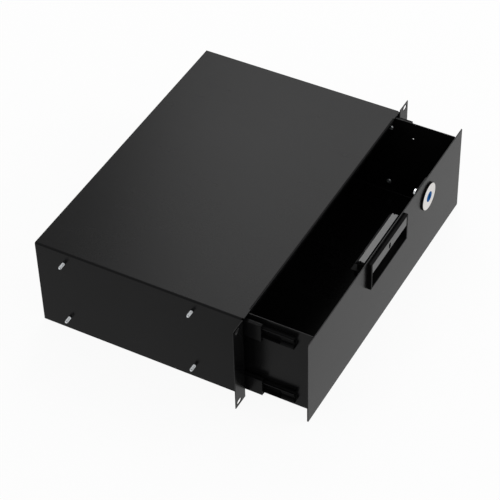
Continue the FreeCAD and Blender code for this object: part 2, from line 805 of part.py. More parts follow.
def panel_studs():
    """Clinch studs pressed into the panel's back."""
    studs = []
    for x, z in panel_stud_places():
        head = rod(stud_head_radius, Vector(x, panel_back - stud_head_height, z), Vector(x, panel_back, z))
        shank = rod(stud_radius, Vector(x, panel_back - stud_head_height, z),
                    Vector(x, panel_back + stud_length, z))
        studs.append(head.fuse(shank).removeSplitter())
    return studs


def panel_nuts():
    """Hexagon nuts on the studs, inside the tray."""
    nuts = []
    for x, z in panel_stud_places():
        seat = Vector(x, panel_back + tray_sheet, z)
        bore = rod(stud_radius, seat - ALONG_Y, seat + ALONG_Y * (nut_height + past))
        nuts.append(hexagon(nut_across_flats, seat, nut_height).cut(bore))
    return nuts


# Handle and latch

def arm_centres():
    """X of the paddle's two arms."""
    return [handle_x - arm_left, handle_x + arm_right]


def spring_centres():
    """Feet of the two latch springs, on the deck."""
    return [Vector(handle_x + offset, front + spring_depth, deck_top)
            for offset in (-spring_left, spring_right)]


def housing_outline(grow, front_y):
    """Section of the pocket, or of the housing around it when grown by the wall."""
    back = front + pocket_depth + grow
    low = pocket_bottom - grow
    return [(front_y, low), (front + pocket_floor_depth + grow / 2, low),
            (back, low + pocket_slope_height + grow / 2), (back, deck_top - housing_wall + grow),
            (front_y, deck_top - housing_wall + grow)]


def handle_housing():
    """Bezel, finger pocket, neck and latch deck, moulded in one piece."""
    bezel = block((handle_x - bezel_width / 2, handle_x + bezel_width / 2), (bezel_front, front),
                  (bezel_bottom, bezel_top))
    bezel = rounded(bezel, bezel_edge, lambda edge: edge.CenterOfMass.y < front - tolerance)
    shell = prism_yz(housing_outline(housing_wall, front), (housing_left, housing_right))
    neck = block((housing_left, housing_right), (front, front + neck_depth), (pocket_bottom, neck_top))
    deck_back = front + pocket_depth + housing_wall
    deck = block((housing_left - deck_overhang_left, housing_right),
                 (front + neck_depth - housing_wall, deck_back), (deck_top - housing_wall, deck_top))
    pieces = [shell, neck, deck]
    for centre in spring_centres():
        pieces.append(rod(spring_seat_radius, centre - ALONG_Z * root,
                          centre + ALONG_Z * spring_seat_height))
    for end, outward in ((tongue_left, -1), (tongue_right, 1)):
        face = end + outward * guide_clearance
        cheek_x = sorted((face, face + outward * cheek_sheet))
        rib_x = sorted((face + outward * cheek_sheet / 2, face - outward * rib_size))
        middle = front + spring_depth
        pieces.append(block(cheek_x, (middle - cheek_depth / 2, middle + cheek_depth / 2),
                            (deck_top - root, deck_top + cheek_height)))
        pieces.append(block(rib_x, (middle - rib_size / 2, middle + rib_size / 2),
                            (deck_top - root, deck_top + cheek_height)))
    body = bezel.fuse(pieces).removeSplitter()
    cuts = [prism_yz(housing_outline(0, bezel_front - past), (pocket_left, pocket_right)),
            block((pocket_left, pocket_right), (bezel_front - past, front), (pocket_bottom, opening_top)),
            block((pocket_left, pocket_right), (front - past, front + neck_depth - housing_wall),
                  (pocket_bottom, neck_top - housing_wall))]
    for wall, outward in ((housing_left, -1), (housing_right, 1)):
        seat = clamp_screw_seat(wall, outward)
        reach = clamp_gap + clamp_sheet + housing_wall + past
        cuts.append(rod(clamp_screw_radius, seat, seat - ALONG_X * (outward * reach)))
    for centre in arm_centres():
        half = arm_width / 2 + arm_gap
        cuts.append(block((centre - half, centre + half), (front - hair, front + neck_depth + past),
                          (deck_top + arm_floor_rise, neck_top + past)))
    cuts.append(rod(paddle_pin_radius, Vector(pocket_left - paddle_pin_seat, paddle_pin_y, paddle_pin_z),
                    Vector(handle_x + bezel_width, paddle_pin_y, paddle_pin_z)))
    return body.cut(cuts)


def paddle():
    """Finger paddle with knuckles on its pin and two slotted arms to the tongue."""
    left = pocket_left + paddle_clearance
    right = pocket_right - paddle_clearance
    plate_front = bezel_front + paddle_recess
    plate_top = opening_top - paddle_top_drop
    plate = block((left, right), (plate_front, plate_front + paddle_sheet), (paddle_bottom, plate_top))
    lip = block((left, right), (plate_front, plate_front + paddle_lip_depth),
                (paddle_bottom, paddle_bottom + paddle_sheet))
    pin = Vector(0, paddle_pin_y, paddle_pin_z)
    eye = Vector(0, latch_pin_y, latch_pin_z)
    along = (eye - pin).normalize()
    up = ALONG_X.cross(along)
    pieces = [lip]
    for centre in arm_centres():
        middle = Vector(centre, 0, 0)
        half = ALONG_X * (arm_width / 2)
        knuckle = ALONG_X * (paddle_knuckle_length / 2)
        corners = [pin - up * arm_half_thickness, eye - up * arm_half_thickness,
                   eye + up * arm_half_thickness, pin + up * arm_half_thickness]
        pieces.append(prism([corner + middle - half for corner in corners], half * 2))
        pieces.append(rod(arm_eye_radius, eye + middle - half, eye + middle + half))
        pieces.append(rod(paddle_knuckle_radius, pin + middle - knuckle, pin + middle + knuckle))
        web_z = (paddle_pin_z - paddle_knuckle_radius, paddle_pin_z + knuckle_web_rise)
        pieces.append(block((centre - paddle_knuckle_length / 2, centre + paddle_knuckle_length / 2),
                            (plate_front + paddle_sheet / 2, paddle_pin_y), web_z))
    body = plate.fuse(pieces).removeSplitter()
    cuts = [rod(paddle_pin_radius + paddle_play, pin + ALONG_X * (left - past),
                pin + ALONG_X * (right + past))]
    for centre in arm_centres():
        width = 2 * (latch_pin_radius + arm_eye_play)
        cuts.append(slot_along(along, width + 2 * arm_eye_slack, width, eye + ALONG_X * centre,
                               ALONG_X, arm_width + 2 * past))
    cuts.append(slot_along(ALONG_Z, sight_slot_height, sight_slot_width,
                           Vector(handle_x, plate_front, sight_slot_z), ALONG_Y, 4 * paddle_sheet))
    return body.cut(cuts)


def latch_tongue():
    """Bevelled bolt that stands up behind the case's front lip."""
    top = tongue_bottom + tongue_height
    back = tongue_front + tongue_depth
    section = [(tongue_front, tongue_bottom), (back, tongue_bottom),
               (back, tongue_bottom + tongue_nose_height), (tongue_front + tongue_flat_depth, top),
               (tongue_front, top)]
    body = prism_yz(section, (tongue_left, tongue_right))
    cuts = []
    for centre in arm_centres():
        half = arm_width / 2 + arm_gap
        cuts.append(block((centre - half, centre + half),
                          (tongue_front - past, latch_pin_y + arm_eye_radius + 2 * arm_gap),
                          (tongue_bottom - past, top - tongue_roof)))
    cuts.extend(latch_pins())
    for centre in spring_centres():
        cuts.append(rod(spring_pocket_radius, Vector(centre.x, centre.y, tongue_bottom - past),
                        Vector(centre.x, centre.y, tongue_bottom + spring_pocket)))
    middle = front + spring_depth
    groove = rib_size / 2 + guide_clearance
    for end, outward in ((tongue_left, -1), (tongue_right, 1)):
        groove_x = sorted((end + outward, end - outward * (rib_size + guide_clearance)))
        cuts.append(block(groove_x, (middle - groove, middle + groove), (tongue_bottom - past, top + past)))
    return body.cut(cuts)


def latch_pins():
    """Cross pins that tie the tongue to the paddle's arms."""
    half = ALONG_X * (latch_pin_length / 2)
    middles = [Vector(centre, latch_pin_y, latch_pin_z) for centre in arm_centres()]
    return [rod(latch_pin_radius, middle - half, middle + half) for middle in middles]


def paddle_pin():
    """Steel pin that the paddle turns on, held in the bezel's sides."""
    return rod(paddle_pin_radius, Vector(pocket_left - paddle_pin_seat, paddle_pin_y, paddle_pin_z),
               Vector(pocket_right + paddle_pin_seat, paddle_pin_y, paddle_pin_z))


def latch_springs():
    """Compression springs from the deck into the tongue."""
    length = tongue_bottom + spring_pocket - deck_top
    rise = length - 2 * (spring_wire_radius + spring_end_play)
    springs = []
    for centre in spring_centres():
        helix = Part.makeHelix(rise / spring_turns, rise, spring_radius)
        helix.translate(centre + ALONG_Z * (spring_wire_radius + spring_end_play))
        start = helix.Edges[0].valueAt(helix.Edges[0].FirstParameter)
        heading = helix.Edges[0].tangentAt(helix.Edges[0].FirstParameter)
        section = Part.Wire(Part.makeCircle(spring_wire_radius, start, heading))
        springs.append(Part.Wire(helix).makePipeShell([section], True, True))
    return springs


def handle_clamps():
    """Angles that draw the bezel against the panel from behind."""
    clamps = []
    for wall, outward in ((housing_left, -1), (housing_right, 1)):
        face = wall + outward * clamp_gap
        leg_x = sorted((face, face + outward * clamp_sheet))
        foot_x = sorted((face, face + outward * clamp_foot))
        z_range = (clamp_bottom, clamp_bottom + clamp_height)
        leg = block(leg_x, (panel_back, panel_back + clamp_leg), z_range)
        foot = block(foot_x, (panel_back, panel_back + clamp_sheet), z_range)
        hole_at = clamp_screw_seat(wall, outward)
        reach = ALONG_X * (3 * clamp_sheet)
        clamps.append(leg.fuse(foot).removeSplitter().cut(
            rod(clamp_screw_radius, hole_at - reach, hole_at + reach)))
    return clamps


def clamp_screw_seat(wall, outward):
    """Where a clamp's screw head sits."""
    return Vector(wall + outward * (clamp_gap + clamp_sheet), panel_back + clamp_leg * 0.6,
                  clamp_bottom + clamp_height / 2)


def clamp_screws():
    """Short screws through the clamps into the housing's side walls."""
    screws = []
    for wall, outward in ((housing_left, -1), (housing_right, 1)):
        screws.append(screw(clamp_screw_seat(wall, outward), ALONG_X * -outward,
                            clamp_gap + clamp_sheet + housing_wall, clamp_screw_radius,
                            clamp_screw_head_radius, clamp_screw_head_height))
    return screws


# Lock.  Points on its axis, by their distance behind the panel's front face.

def on_axis(depth):
    """Point on the lock's axis."""
    return Vector(lock_x, front + depth, lock_z)


def lock_collar():
    """Black collar around the lock, with a seat for the face and the barrel's flange."""
    body = rod(collar_radius, on_axis(-collar_height), on_axis(0))
    body = rounded(body, collar_edge, lambda edge: is_rim(edge, on_axis(-collar_height)))
    face_depth = -collar_height + face_inset
    return body.cut([rod(face_radius, on_axis(-collar_height - past), on_axis(face_depth)),
                     rod(barrel_flange_radius, on_axis(face_depth - past),
                         on_axis(face_depth + barrel_flange_height)),
                     rod(barrel_radius, on_axis(face_depth), on_axis(past))])


def lock_face():
    """Pale ring let into the collar."""
    face_depth = -collar_height + face_inset
    ring = rod(face_radius, on_axis(face_depth - face_thickness), on_axis(face_depth))
    ring = rounded(ring, face_edge, lambda edge: is_rim(edge, on_axis(face_depth - face_thickness)))
    return ring.cut(rod(plug_front_radius + plug_front_play, on_axis(face_depth - 2 * past), on_axis(0)))


def lock_barrel():
    """Threaded barrel with a front flange, bored for the plug."""
    face_depth = -collar_height + face_inset
    flange = rod(barrel_flange_radius, on_axis(face_depth), on_axis(face_depth + barrel_flange_height))
    barrel = rod(barrel_radius, on_axis(face_depth), on_axis(barrel_length))
    return flange.fuse(barrel).removeSplitter().cut([
        rod(plug_front_radius + plug_front_play, on_axis(face_depth - past), on_axis(-plug_shoulder)),
        rod(plug_radius + plug_play, on_axis(-plug_shoulder - past), on_axis(barrel_length + past))])


def lock_nut():
    """Hexagon nut that holds the barrel in the panel."""
    seat = on_axis(panel_sheet)
    return hexagon(lock_nut_across_flats, seat, lock_nut_height).cut(
        rod(barrel_radius, seat - ALONG_Y, seat + ALONG_Y * (lock_nut_height + past)))


def cam_back():
    """Depth of the cam's back face."""
    return barrel_length + cam_gap + cam_sheet


def lock_plug():
    """Turning plug with a key slot and a square tail."""
    face_depth = -collar_height + face_inset - face_thickness - plug_proud
    head = rod(plug_front_radius, on_axis(face_depth), on_axis(-plug_shoulder - plug_play))
    head = rounded(head, plug_proud, lambda edge: is_rim(edge, on_axis(face_depth)))
    body = rod(plug_radius, on_axis(-2 * plug_shoulder), on_axis(barrel_length + cam_gap))
    half = tail_square / 2
    tail = block((lock_x - half, lock_x + half), (front + barrel_length, front + cam_back()),
                 (lock_z - half, lock_z + half))
    key_slot = block((lock_x - key_slot_width / 2, lock_x + key_slot_width / 2),
                     (front + face_depth - past, front + face_depth + key_slot_depth),
                     (lock_z - key_slot_height / 2, lock_z + key_slot_height / 2))
    return head.fuse([body, tail]).removeSplitter().cut(
        [key_slot, rod(screw_radius, on_axis(cam_back() - cam_screw_depth), on_axis(cam_back() + past))])


def lock_cam():
    """Cam on the plug's tail, pointing sideways when unlocked."""
    near = on_axis(barrel_length + cam_gap)
    far = on_axis(cam_back())
    hub = rod(cam_hub_radius, near, far)
    tip = ALONG_X * (cam_reach - cam_width / 2)
    end = rod(cam_width / 2, near + tip, far + tip)
    arm = block((lock_x, lock_x + cam_reach - cam_width / 2), (near.y, far.y),
                (lock_z - cam_width / 2, lock_z + cam_width / 2))
    half = tail_square / 2
    hole = block((lock_x - half, lock_x + half), (near.y - past, far.y + past),
                 (lock_z - half, lock_z + half))
    return hub.fuse([arm, end]).removeSplitter().cut(hole)


def cam_washer():
    """Washer under the cam screw's head."""
    ring = rod(cam_washer_radius, on_axis(cam_back()), on_axis(cam_back() + cam_washer_sheet))
    return ring.cut(rod(screw_radius, on_axis(cam_back() - past),
                        on_axis(cam_back() + cam_washer_sheet + past)))


def cam_screw():
    """Hexagon screw into the plug's tail."""
    seat = on_axis(cam_back() + cam_washer_sheet)
    shank = rod(screw_radius, on_axis(cam_back() - cam_screw_depth), seat)
    head = hexagon(cam_screw_across_flats, seat, cam_screw_head_height)
    return head.fuse(shank).removeSplitter()


def write_case():
    """Case pieces."""
    save("case_shell", case_shell())
    save("rear_panel", rear_panel())
    save("rear_panel_screws", *[screw(Vector(x, case_back, z), -ALONG_Y, rear_screw_length, screw_radius,
                                      screw_head_radius, screw_head_height)
                                for x, z in rear_screw_places()])
    save("lock_strike", lock_strike())


def write_slides():
    """Four slides, each of three members, two ball sets, a bumper and a lever."""
    case_fixings = []
    tray_fixings = []
    bumpers = []
    pins = []
    outer_row = (outer_row_depth, outer_row_height)
    inner_row = (inner_row_depth, inner_row_height)
    outer_strips = ((outer_retainer_near, outer_retainer_far),) + outer_row
    inner_strips = ((inner_retainer_near, inner_retainer_far),) + inner_row
    for side in slide_sides:
        for level in slide_levels:
            tag = "_" + side + "_" + level
            save("case_member" + tag, placed(case_member(), side, level, 0))
            save("middle_member" + tag, placed(middle_member(), side, level, 0.5))
            save("drawer_member" + tag, placed(drawer_member(), side, level, 1))
            save("outer_retainer" + tag, placed(retainers(*outer_strips), side, level, 0.25))
            save("outer_balls" + tag, placed(balls(*outer_row), side, level, 0.25))
            save("inner_retainer" + tag, placed(retainers(*inner_strips), side, level, 0.75))
            save("inner_balls" + tag, placed(balls(*inner_row), side, level, 0.75))
            save("release_lever" + tag, placed(release_lever(), side, level, 1))
            case_fixings += [placed(item, side, level, 0) for item in case_slide_screws()]
            tray_fixings += [placed(item, side, level, 1) for item in tray_slide_screws()]
            bumpers.append(placed(detent_bumper(), side, level, 1))
            pins.append(placed(lever_pin(), side, level, 1))
    save("case_slide_screws", *case_fixings)
    save("tray_slide_screws", *tray_fixings)
    save("detent_bumpers", *bumpers)
    save("lever_pins", *pins)


def write_drawer():
    """Tray, panel, handle, latch and lock."""
    save("drawer_tray", tray())
    save("front_panel", front_panel())
    save("panel_studs", *panel_studs())
    save("panel_nuts", *panel_nuts())
    save("handle_housing", handle_housing())
    save("handle_clamps", *handle_clamps())
    save("clamp_screws", *clamp_screws())
    save("paddle_pin", paddle_pin())
    save("handle_paddle", paddle())
    save("latch_tongue", latch_tongue())
    save("latch_pins", *latch_pins())
    save("latch_springs", *latch_springs())
    save("lock_collar", lock_collar())
    save("lock_face", lock_face())
    save("lock_barrel", lock_barrel())
    save("lock_nut", lock_nut())
    save("lock_plug", lock_plug())
    save("lock_cam", lock_cam())
    save("cam_washer", cam_washer())
    save("cam_screw", cam_screw())


os.makedirs("parts", exist_ok=True)
write_case()
write_slides()
write_drawer()
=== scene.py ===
"""Sliding rack drawer: finishes, detail pieces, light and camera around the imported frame."""
import json
import logging
import math
from dataclasses import dataclass
from enum import Enum
from functools import cached_property
from typing import Optional, Sequence, Union

import bmesh
import bpy
from mathutils import Euler, Matrix, Vector


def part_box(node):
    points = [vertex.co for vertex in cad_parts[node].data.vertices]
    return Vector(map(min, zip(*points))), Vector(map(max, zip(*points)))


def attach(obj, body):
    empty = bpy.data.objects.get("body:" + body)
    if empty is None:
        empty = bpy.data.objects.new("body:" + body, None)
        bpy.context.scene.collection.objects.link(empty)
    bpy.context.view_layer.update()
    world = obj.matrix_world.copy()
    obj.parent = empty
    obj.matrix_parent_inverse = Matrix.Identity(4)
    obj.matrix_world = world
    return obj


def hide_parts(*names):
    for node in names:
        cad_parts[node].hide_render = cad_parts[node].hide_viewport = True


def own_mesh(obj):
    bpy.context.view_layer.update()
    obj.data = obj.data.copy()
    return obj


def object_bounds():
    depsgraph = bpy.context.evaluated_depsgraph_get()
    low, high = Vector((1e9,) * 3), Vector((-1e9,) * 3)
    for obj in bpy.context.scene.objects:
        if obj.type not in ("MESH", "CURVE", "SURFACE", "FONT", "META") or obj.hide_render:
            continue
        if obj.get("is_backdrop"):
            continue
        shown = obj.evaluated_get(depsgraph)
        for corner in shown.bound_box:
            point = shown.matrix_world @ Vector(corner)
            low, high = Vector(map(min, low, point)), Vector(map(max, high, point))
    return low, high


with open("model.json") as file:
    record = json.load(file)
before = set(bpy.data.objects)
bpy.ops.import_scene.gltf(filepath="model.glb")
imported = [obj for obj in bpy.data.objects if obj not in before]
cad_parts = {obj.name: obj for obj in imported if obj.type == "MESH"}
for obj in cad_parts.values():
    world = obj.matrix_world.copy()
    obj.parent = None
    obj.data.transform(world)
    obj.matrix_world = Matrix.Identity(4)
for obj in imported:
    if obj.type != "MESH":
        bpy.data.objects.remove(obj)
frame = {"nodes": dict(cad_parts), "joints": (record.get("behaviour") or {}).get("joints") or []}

log = logging.getLogger("rack_drawer")

Colour = tuple[float, float, float]
Value = Union["Signal", bpy.types.NodeSocket, float, Sequence[float]]

MM = 0.001
MERGE_DISTANCE = 2e-6
FLAT_ANGLE = math.radians(0.4)
SHARP_ANGLE = math.radians(32.0)
CORNER_ANGLE = math.radians(50.0)
WHITE = (1.0, 1.0, 1.0, 1.0)
AXIS_X = Vector((1.0, 0.0, 0.0))
AXIS_Y = Vector((0.0, 1.0, 0.0))
CORNER_TURN = 30.0
SIDES = ("left", "right")
LEVELS = ("upper", "lower")


class Signal:
    """A node socket that takes part in arithmetic."""

    def __init__(self, board: "NodeBoard", socket: bpy.types.NodeSocket) -> None:
        """Keeps the board that new nodes go on, and the socket."""
        self.board = board
        self.socket = socket

    def _math(self, operation: str, left: Value, right: Value) -> "Signal":
        """Adds one Math node.

        Args:
            operation: The Math node's operation.
            left: Its first value.
            right: Its second value.

        Returns:
            The node's result.
        """
        node = self.board.node("ShaderNodeMath", {"operation": operation}, {0: left, 1: right})
        return Signal(self.board, node.outputs[0])

    def __add__(self, other: Value) -> "Signal":
        """Sum."""
        return self._math("ADD", self, other)

    def __radd__(self, other: Value) -> "Signal":
        """Sum with a number on the left."""
        return self._math("ADD", other, self)

    def __sub__(self, other: Value) -> "Signal":
        """Difference."""
        return self._math("SUBTRACT", self, other)

    def __rsub__(self, other: Value) -> "Signal":
        """Difference with a number on the left."""
        return self._math("SUBTRACT", other, self)

    def __mul__(self, other: Value) -> "Signal":
        """Product."""
        return self._math("MULTIPLY", self, other)

    def __rmul__(self, other: Value) -> "Signal":
        """Product with a number on the left."""
        return self._math("MULTIPLY", other, self)

    def stepped(self, low: float, high: float) -> "Signal":
        """Smooth step from 0 at a low value to 1 at a high one.

        Args:
            low: Value that gives 0.
            high: Value that gives 1.

        Returns:
            The stepped signal.
        """
        node = self.board.node(
            "ShaderNodeMapRange",
            {"interpolation_type": "SMOOTHSTEP"},
            {"Value": self, "From Min": low, "From Max": high},
        )
        return Signal(self.board, node.outputs[0])


class NodeBoard:
    """The nodes of one material or of the world."""

    def __init__(self, owner: Union[bpy.types.Material, bpy.types.World]) -> None:
        """Empties the owner's node tree.

        Args:
            owner: The material or world that the nodes belong to.
        """
        owner.use_nodes = True
        self.owner = owner
        self.tree = owner.node_tree
        self.tree.nodes.clear()

    @cached_property
    def place(self) -> Signal:
        """Where a point is on the piece."""
        return Signal(self, self.node("ShaderNodeTexCoord").outputs["Object"])

    def node(
        self,
        kind: str,
        settings: Optional[dict[str, object]] = None,
        inputs: Optional[dict[Union[int, str], Value]] = None,
    ) -> bpy.types.Node:
        """Makes any node.

        Args:
            kind: Blender's name for the node type.
            settings: Properties that are set before the sockets.
            inputs: Values or links of the sockets, by name or number.

        Returns:
            The node.
        """
        made = self.tree.nodes.new(kind)
        for key, setting in (settings or {}).items():
            setattr(made, key, setting)
        for key, value in (inputs or {}).items():
            socket = made.inputs[key]
            if isinstance(value, Signal):
                self.tree.links.new(value.socket, socket)
            elif isinstance(value, bpy.types.NodeSocket):
                self.tree.links.new(value, socket)
            else:
                socket.default_value = value
        return made

    def grain(
        self,
        scale: float,
        detail: float = 2.0,
        stretch: Sequence[float] = (1.0, 1.0, 1.0),
        shift: Sequence[float] = (0.0, 0.0, 0.0),
    ) -> Signal:
        """Noise over the object's own coordinates.

        Args:
            scale: Patches in a metre.
            detail: How many finer layers it has.
            stretch: How much denser it is along each axis.
            shift: Where it starts.

        Returns:
            The noise, from 0 to 1.
        """
        mapped = self.node(
            "ShaderNodeMapping", {}, {"Vector": self.place, "Location": shift, "Scale": stretch}
        )
        noise = self.node(
            "ShaderNodeTexNoise",
            {},
            {"Vector": mapped.outputs[0], "Scale": scale, "Detail": detail},
        )
        return Signal(self, noise.outputs[0])

    def blended(self, share: Value, first: Value, second: Value) -> Signal:
        """Mixes two colours.

        Args:
            share: How much of the second colour there is.
            first: Colour at 0.
            second: Colour at 1.

        Returns:
            The mixed colour.
        """
        node = self.node(
            "ShaderNodeMix",
            {"data_type": "RGBA"},
            {0: share, 6: _opaque(first), 7: _opaque(second)},
        )
        return Signal(self, node.outputs[2])

    def edge_normal(self, radius: float) -> Signal:
        """Surface direction with its sharp edges rounded over."""
        rounded = self.node("ShaderNodeBevel", {"samples": 4}, {"Radius": radius})
        return Signal(self, rounded.outputs[0])

    def edge_mask(self, radius: float) -> Signal:
        """How near an outer or inner edge a point is.

        Args:
            radius: How far from the edge the mask reaches.

        Returns:
            About 0 on flat parts and up to 0.3 at an edge.
        """
        shape = self.node("ShaderNodeNewGeometry")
        agreement = self.node(
            "ShaderNodeVectorMath",
            {"operation": "DOT_PRODUCT"},
            {0: self.edge_normal(radius), 1: shape.outputs["Normal"]},
        )
        return 1.0 - Signal(self, agreement.outputs["Value"])

    def seen(self) -> Signal:
        """Share that is 1 for what the camera, gloss or glass looks at."""
        path = self.node("ShaderNodeLightPath").outputs
        total = Signal(self, path["Is Camera Ray"]) + path["Is Glossy Ray"]
        return (total + path["Is Transmission Ray"]).stepped(0.0, 1.0)

    def merged(self, share: Value, first: bpy.types.Node, second: bpy.types.Node) -> bpy.types.Node:
        """Mixes two shaders.

        Args:
            share: How much of the second shader there is.
            first: Shader at 0.
            second: Shader at 1.

        Returns:
            The mixing node.
        """
        inputs = {0: share, 1: first.outputs[0], 2: second.outputs[0]}
        return self.node("ShaderNodeMixShader", {}, inputs)

    def finish(self, shader: bpy.types.Node) -> Union[bpy.types.Material, bpy.types.World]:
        """Links a shader to the output.

        Args:
            shader: The node whose shader is shown.

        Returns:
            The owner of the nodes.
        """
        kind = "World" if isinstance(self.owner, bpy.types.World) else "Material"
        self.node("ShaderNodeOutput" + kind, {}, {"Surface": shader.outputs[0]})
        return self.owner


def _opaque(colour: Value) -> Value:
    """A colour's three numbers with a full alpha, and any link as it is."""
    if isinstance(colour, (Signal, bpy.types.NodeSocket)):
        return colour
    return (*colour, 1.0)


class Skin(Enum):
    """What a surface was made or coated by."""

    POWDER = "powder coat"
    MOULDED = "moulded plastic"
    ROLLED = "rolled strip"
    PLATED = "plated steel"
    POLISHED = "polished metal"


@dataclass(frozen=True)
class AgeingAndHighlight:
    """How unevenly a surface is coloured and aged, and how its edges are lightened: partly real
    abrasion, partly a painted highlight.
    """

    broad_scale: float = 9.0
    fine_scale: float = 160.0
    broad_share: float = 0.65
    fine_share: float = 0.35
    patch_low: float = 0.3
    patch_high: float = 0.7
    scuff_scale: float = 60.0
    scuff_low: float = 0.56
    scuff_high: float = 0.74
    scuff_tint: float = 0.12
    scuff_dulling: float = 0.5
    # The rub and edge settings shape the lighter edges: partly real abrasion, partly a painted
    # highlight along edges.
    rub_and_highlight_scale: float = 240.0
    rub_and_highlight_reach: float = 2.2
    rub_and_highlight_low: float = 0.42
    rub_and_highlight_high: float = 0.62
    edge_low: float = 0.02
    edge_high: float = 0.16
    dulling: float = 0.78


AGEING_AND_HIGHLIGHT = AgeingAndHighlight()


@dataclass(frozen=True)
class Finish:
    """A procedural finish: colour, gloss, texture, scuffs, and lighter edges that are partly
    abrasion and partly a painted highlight.
    """

    name: str
    slot: str
    skin: Skin
    colour: Colour
    worn_and_highlight_colour: Colour
    # Colour of scuffs and of the lighter edges; the edges are partly abrasion and partly a painted
    # highlight.
    roughness: float
    spread: float
    metallic: float = 0.0
    specular: float = 0.5
    grain: float = 900.0
    relief: float = 0.03 * MM
    edge: float = 0.3 * MM
    # Strength of scuffs and of the lighter edges, the edges partly abrasion and partly a painted
    # highlight.
    wear_and_highlight: float = 0.5

    def texture(self, board: NodeBoard) -> Signal:
        """The fine relief of the surface.

        Args:
            board: Where the nodes go.

        Returns:
            Its height, from 0 to 1.
        """
        if self.skin is Skin.ROLLED:
            lines = board.grain(self.grain, 3.0, (1.0, 0.02, 1.0))
            return lines * 0.7 + board.grain(self.grain * 0.6, 2.0) * 0.3
        if self.skin is Skin.PLATED:
            return board.grain(self.grain, 3.0) * 0.6 + board.grain(self.grain * 0.2, 2.0) * 0.4
        if self.skin is Skin.POLISHED:
            return board.grain(self.grain, 2.0, (1.0, 0.08, 1.0))
        if self.skin is Skin.MOULDED:
            return board.grain(self.grain, 1.0) * 0.6 + board.grain(self.grain * 2.3, 1.0) * 0.4
        peel = board.grain(self.grain, 2.0)
        return peel * 0.75 + board.grain(self.grain * 3.1, 1.0) * 0.25

    def material(self) -> bpy.types.Material:
        """Builds the material.

        Returns:
            A material with its colour, roughness and relief from nodes.
        """
        board = NodeBoard(bpy.data.materials.new(self.name))
        age_and_highlight = AGEING_AND_HIGHLIGHT
        broad = board.grain(age_and_highlight.broad_scale, 4.0, shift=(3.1, 1.7, 0.4))
        fine = board.grain(age_and_highlight.fine_scale, 3.0)
        patchy = broad * age_and_highlight.broad_share + fine * age_and_highlight.fine_share
        scuffs = board.grain(age_and_highlight.scuff_scale, 5.0, (1.0, 0.25, 1.0), (7.0, 2.0, 5.0))
        scuffs = scuffs.stepped(age_and_highlight.scuff_low, age_and_highlight.scuff_high)
        # Lighter colour along edges: partly real abrasion, partly a painted highlight standing in
        # for bright edge lines.
        edge_wear_and_highlight = board.edge_mask(age_and_highlight.rub_and_highlight_reach * self.edge).stepped(age_and_highlight.edge_low, age_and_highlight.edge_high)
        rub_and_highlight_grain = board.grain(age_and_highlight.rub_and_highlight_scale, 3.0, shift=(1.0, 9.0, 4.0))
        edge_wear_and_highlight = edge_wear_and_highlight * rub_and_highlight_grain.stepped(age_and_highlight.rub_and_highlight_low, age_and_highlight.rub_and_highlight_high) * self.wear_and_highlight
        dull = tuple(channel * age_and_highlight.dulling for channel in self.colour)
        ground = board.blended(patchy.stepped(age_and_highlight.patch_low, age_and_highlight.patch_high), dull, self.colour)
        # The second colour goes on scuffs and on the edge mask; on the edges it is partly a painted
        # highlight.
        wear_and_highlight_share = edge_wear_and_highlight + scuffs * (age_and_highlight.scuff_tint * self.wear_and_highlight)
        colour = board.blended(wear_and_highlight_share, ground, self.worn_and_highlight_colour)
        roughness = self.roughness + (patchy - 0.5) * (2.0 * self.spread)
        roughness = roughness + scuffs * (age_and_highlight.scuff_dulling * self.spread)
        relief = board.node(
            "ShaderNodeBump",
            {},
            {
                "Strength": 1.0,
                "Distance": self.relief,
                "Height": self.texture(board),
                "Normal": board.edge_normal(self.edge),
            },
        )
        shader = board.node(
            "ShaderNodeBsdfPrincipled",
            {},
            {
                "Base Color": colour,
                "Roughness": roughness,
                "Metallic": self.metallic,
                "Specular IOR Level": self.specular,
                "Normal": relief.outputs[0],
            },
        )
        return board.finish(shader)


# The second colour of each finish goes on scuffs and on edges, where it is partly abrasion and
# partly a painted highlight.
POWDER_COAT = Finish(
    "black powder coat", "black_powder_coat", Skin.POWDER, (0.0042, 0.0042, 0.0044),
    (0.022, 0.022, 0.0225), 0.25, 0.035, specular=0.08, grain=700.0, relief=0.008 * MM,
    edge=0.35 * MM,
)
BLACK_MOULDING = Finish(
    "satin black moulding", "black_plastic", Skin.MOULDED, (0.006, 0.006, 0.0065),
    (0.03, 0.03, 0.031), 0.34, 0.04, specular=0.5, grain=1500.0, relief=0.012 * MM, edge=0.35 * MM,
)
MATT_MOULDING = Finish(
    "matt black moulding", "black_plastic", Skin.MOULDED, (0.003, 0.003, 0.0031),
    (0.012, 0.012, 0.0123), 0.42, 0.05, specular=0.025, grain=1300.0, relief=0.02 * MM,
    edge=0.35 * MM,
)
BLACK_ZINC = Finish(
    "black zinc strip", "black_zinc_steel", Skin.ROLLED, (0.005, 0.005, 0.0053),
    (0.05, 0.05, 0.052), 0.26, 0.05, specular=0.05, grain=1200.0, relief=0.008 * MM,
    edge=0.2 * MM,
)
BRIGHT_ZINC = Finish(
    "bright zinc", "bright_zinc_steel", Skin.PLATED, (0.66, 0.68, 0.7),
    (0.5, 0.49, 0.46), 0.3, 0.08, metallic=1.0, grain=1600.0, relief=0.008 * MM, edge=0.12 * MM,
)
POLISHED_STEEL = Finish(
    "polished steel", "polished_steel", Skin.POLISHED, (0.72, 0.73, 0.75),
    (0.5, 0.5, 0.5), 0.14, 0.04, metallic=1.0, grain=2200.0, relief=0.002 * MM, edge=0.08 * MM,
)
PLAIN_STRIP = Finish(
    "cold rolled strip", "plain_steel", Skin.ROLLED, (0.5, 0.5, 0.5),
    (0.32, 0.31, 0.3), 0.32, 0.08, metallic=1.0, grain=1500.0, relief=0.006 * MM, edge=0.08 * MM,
)
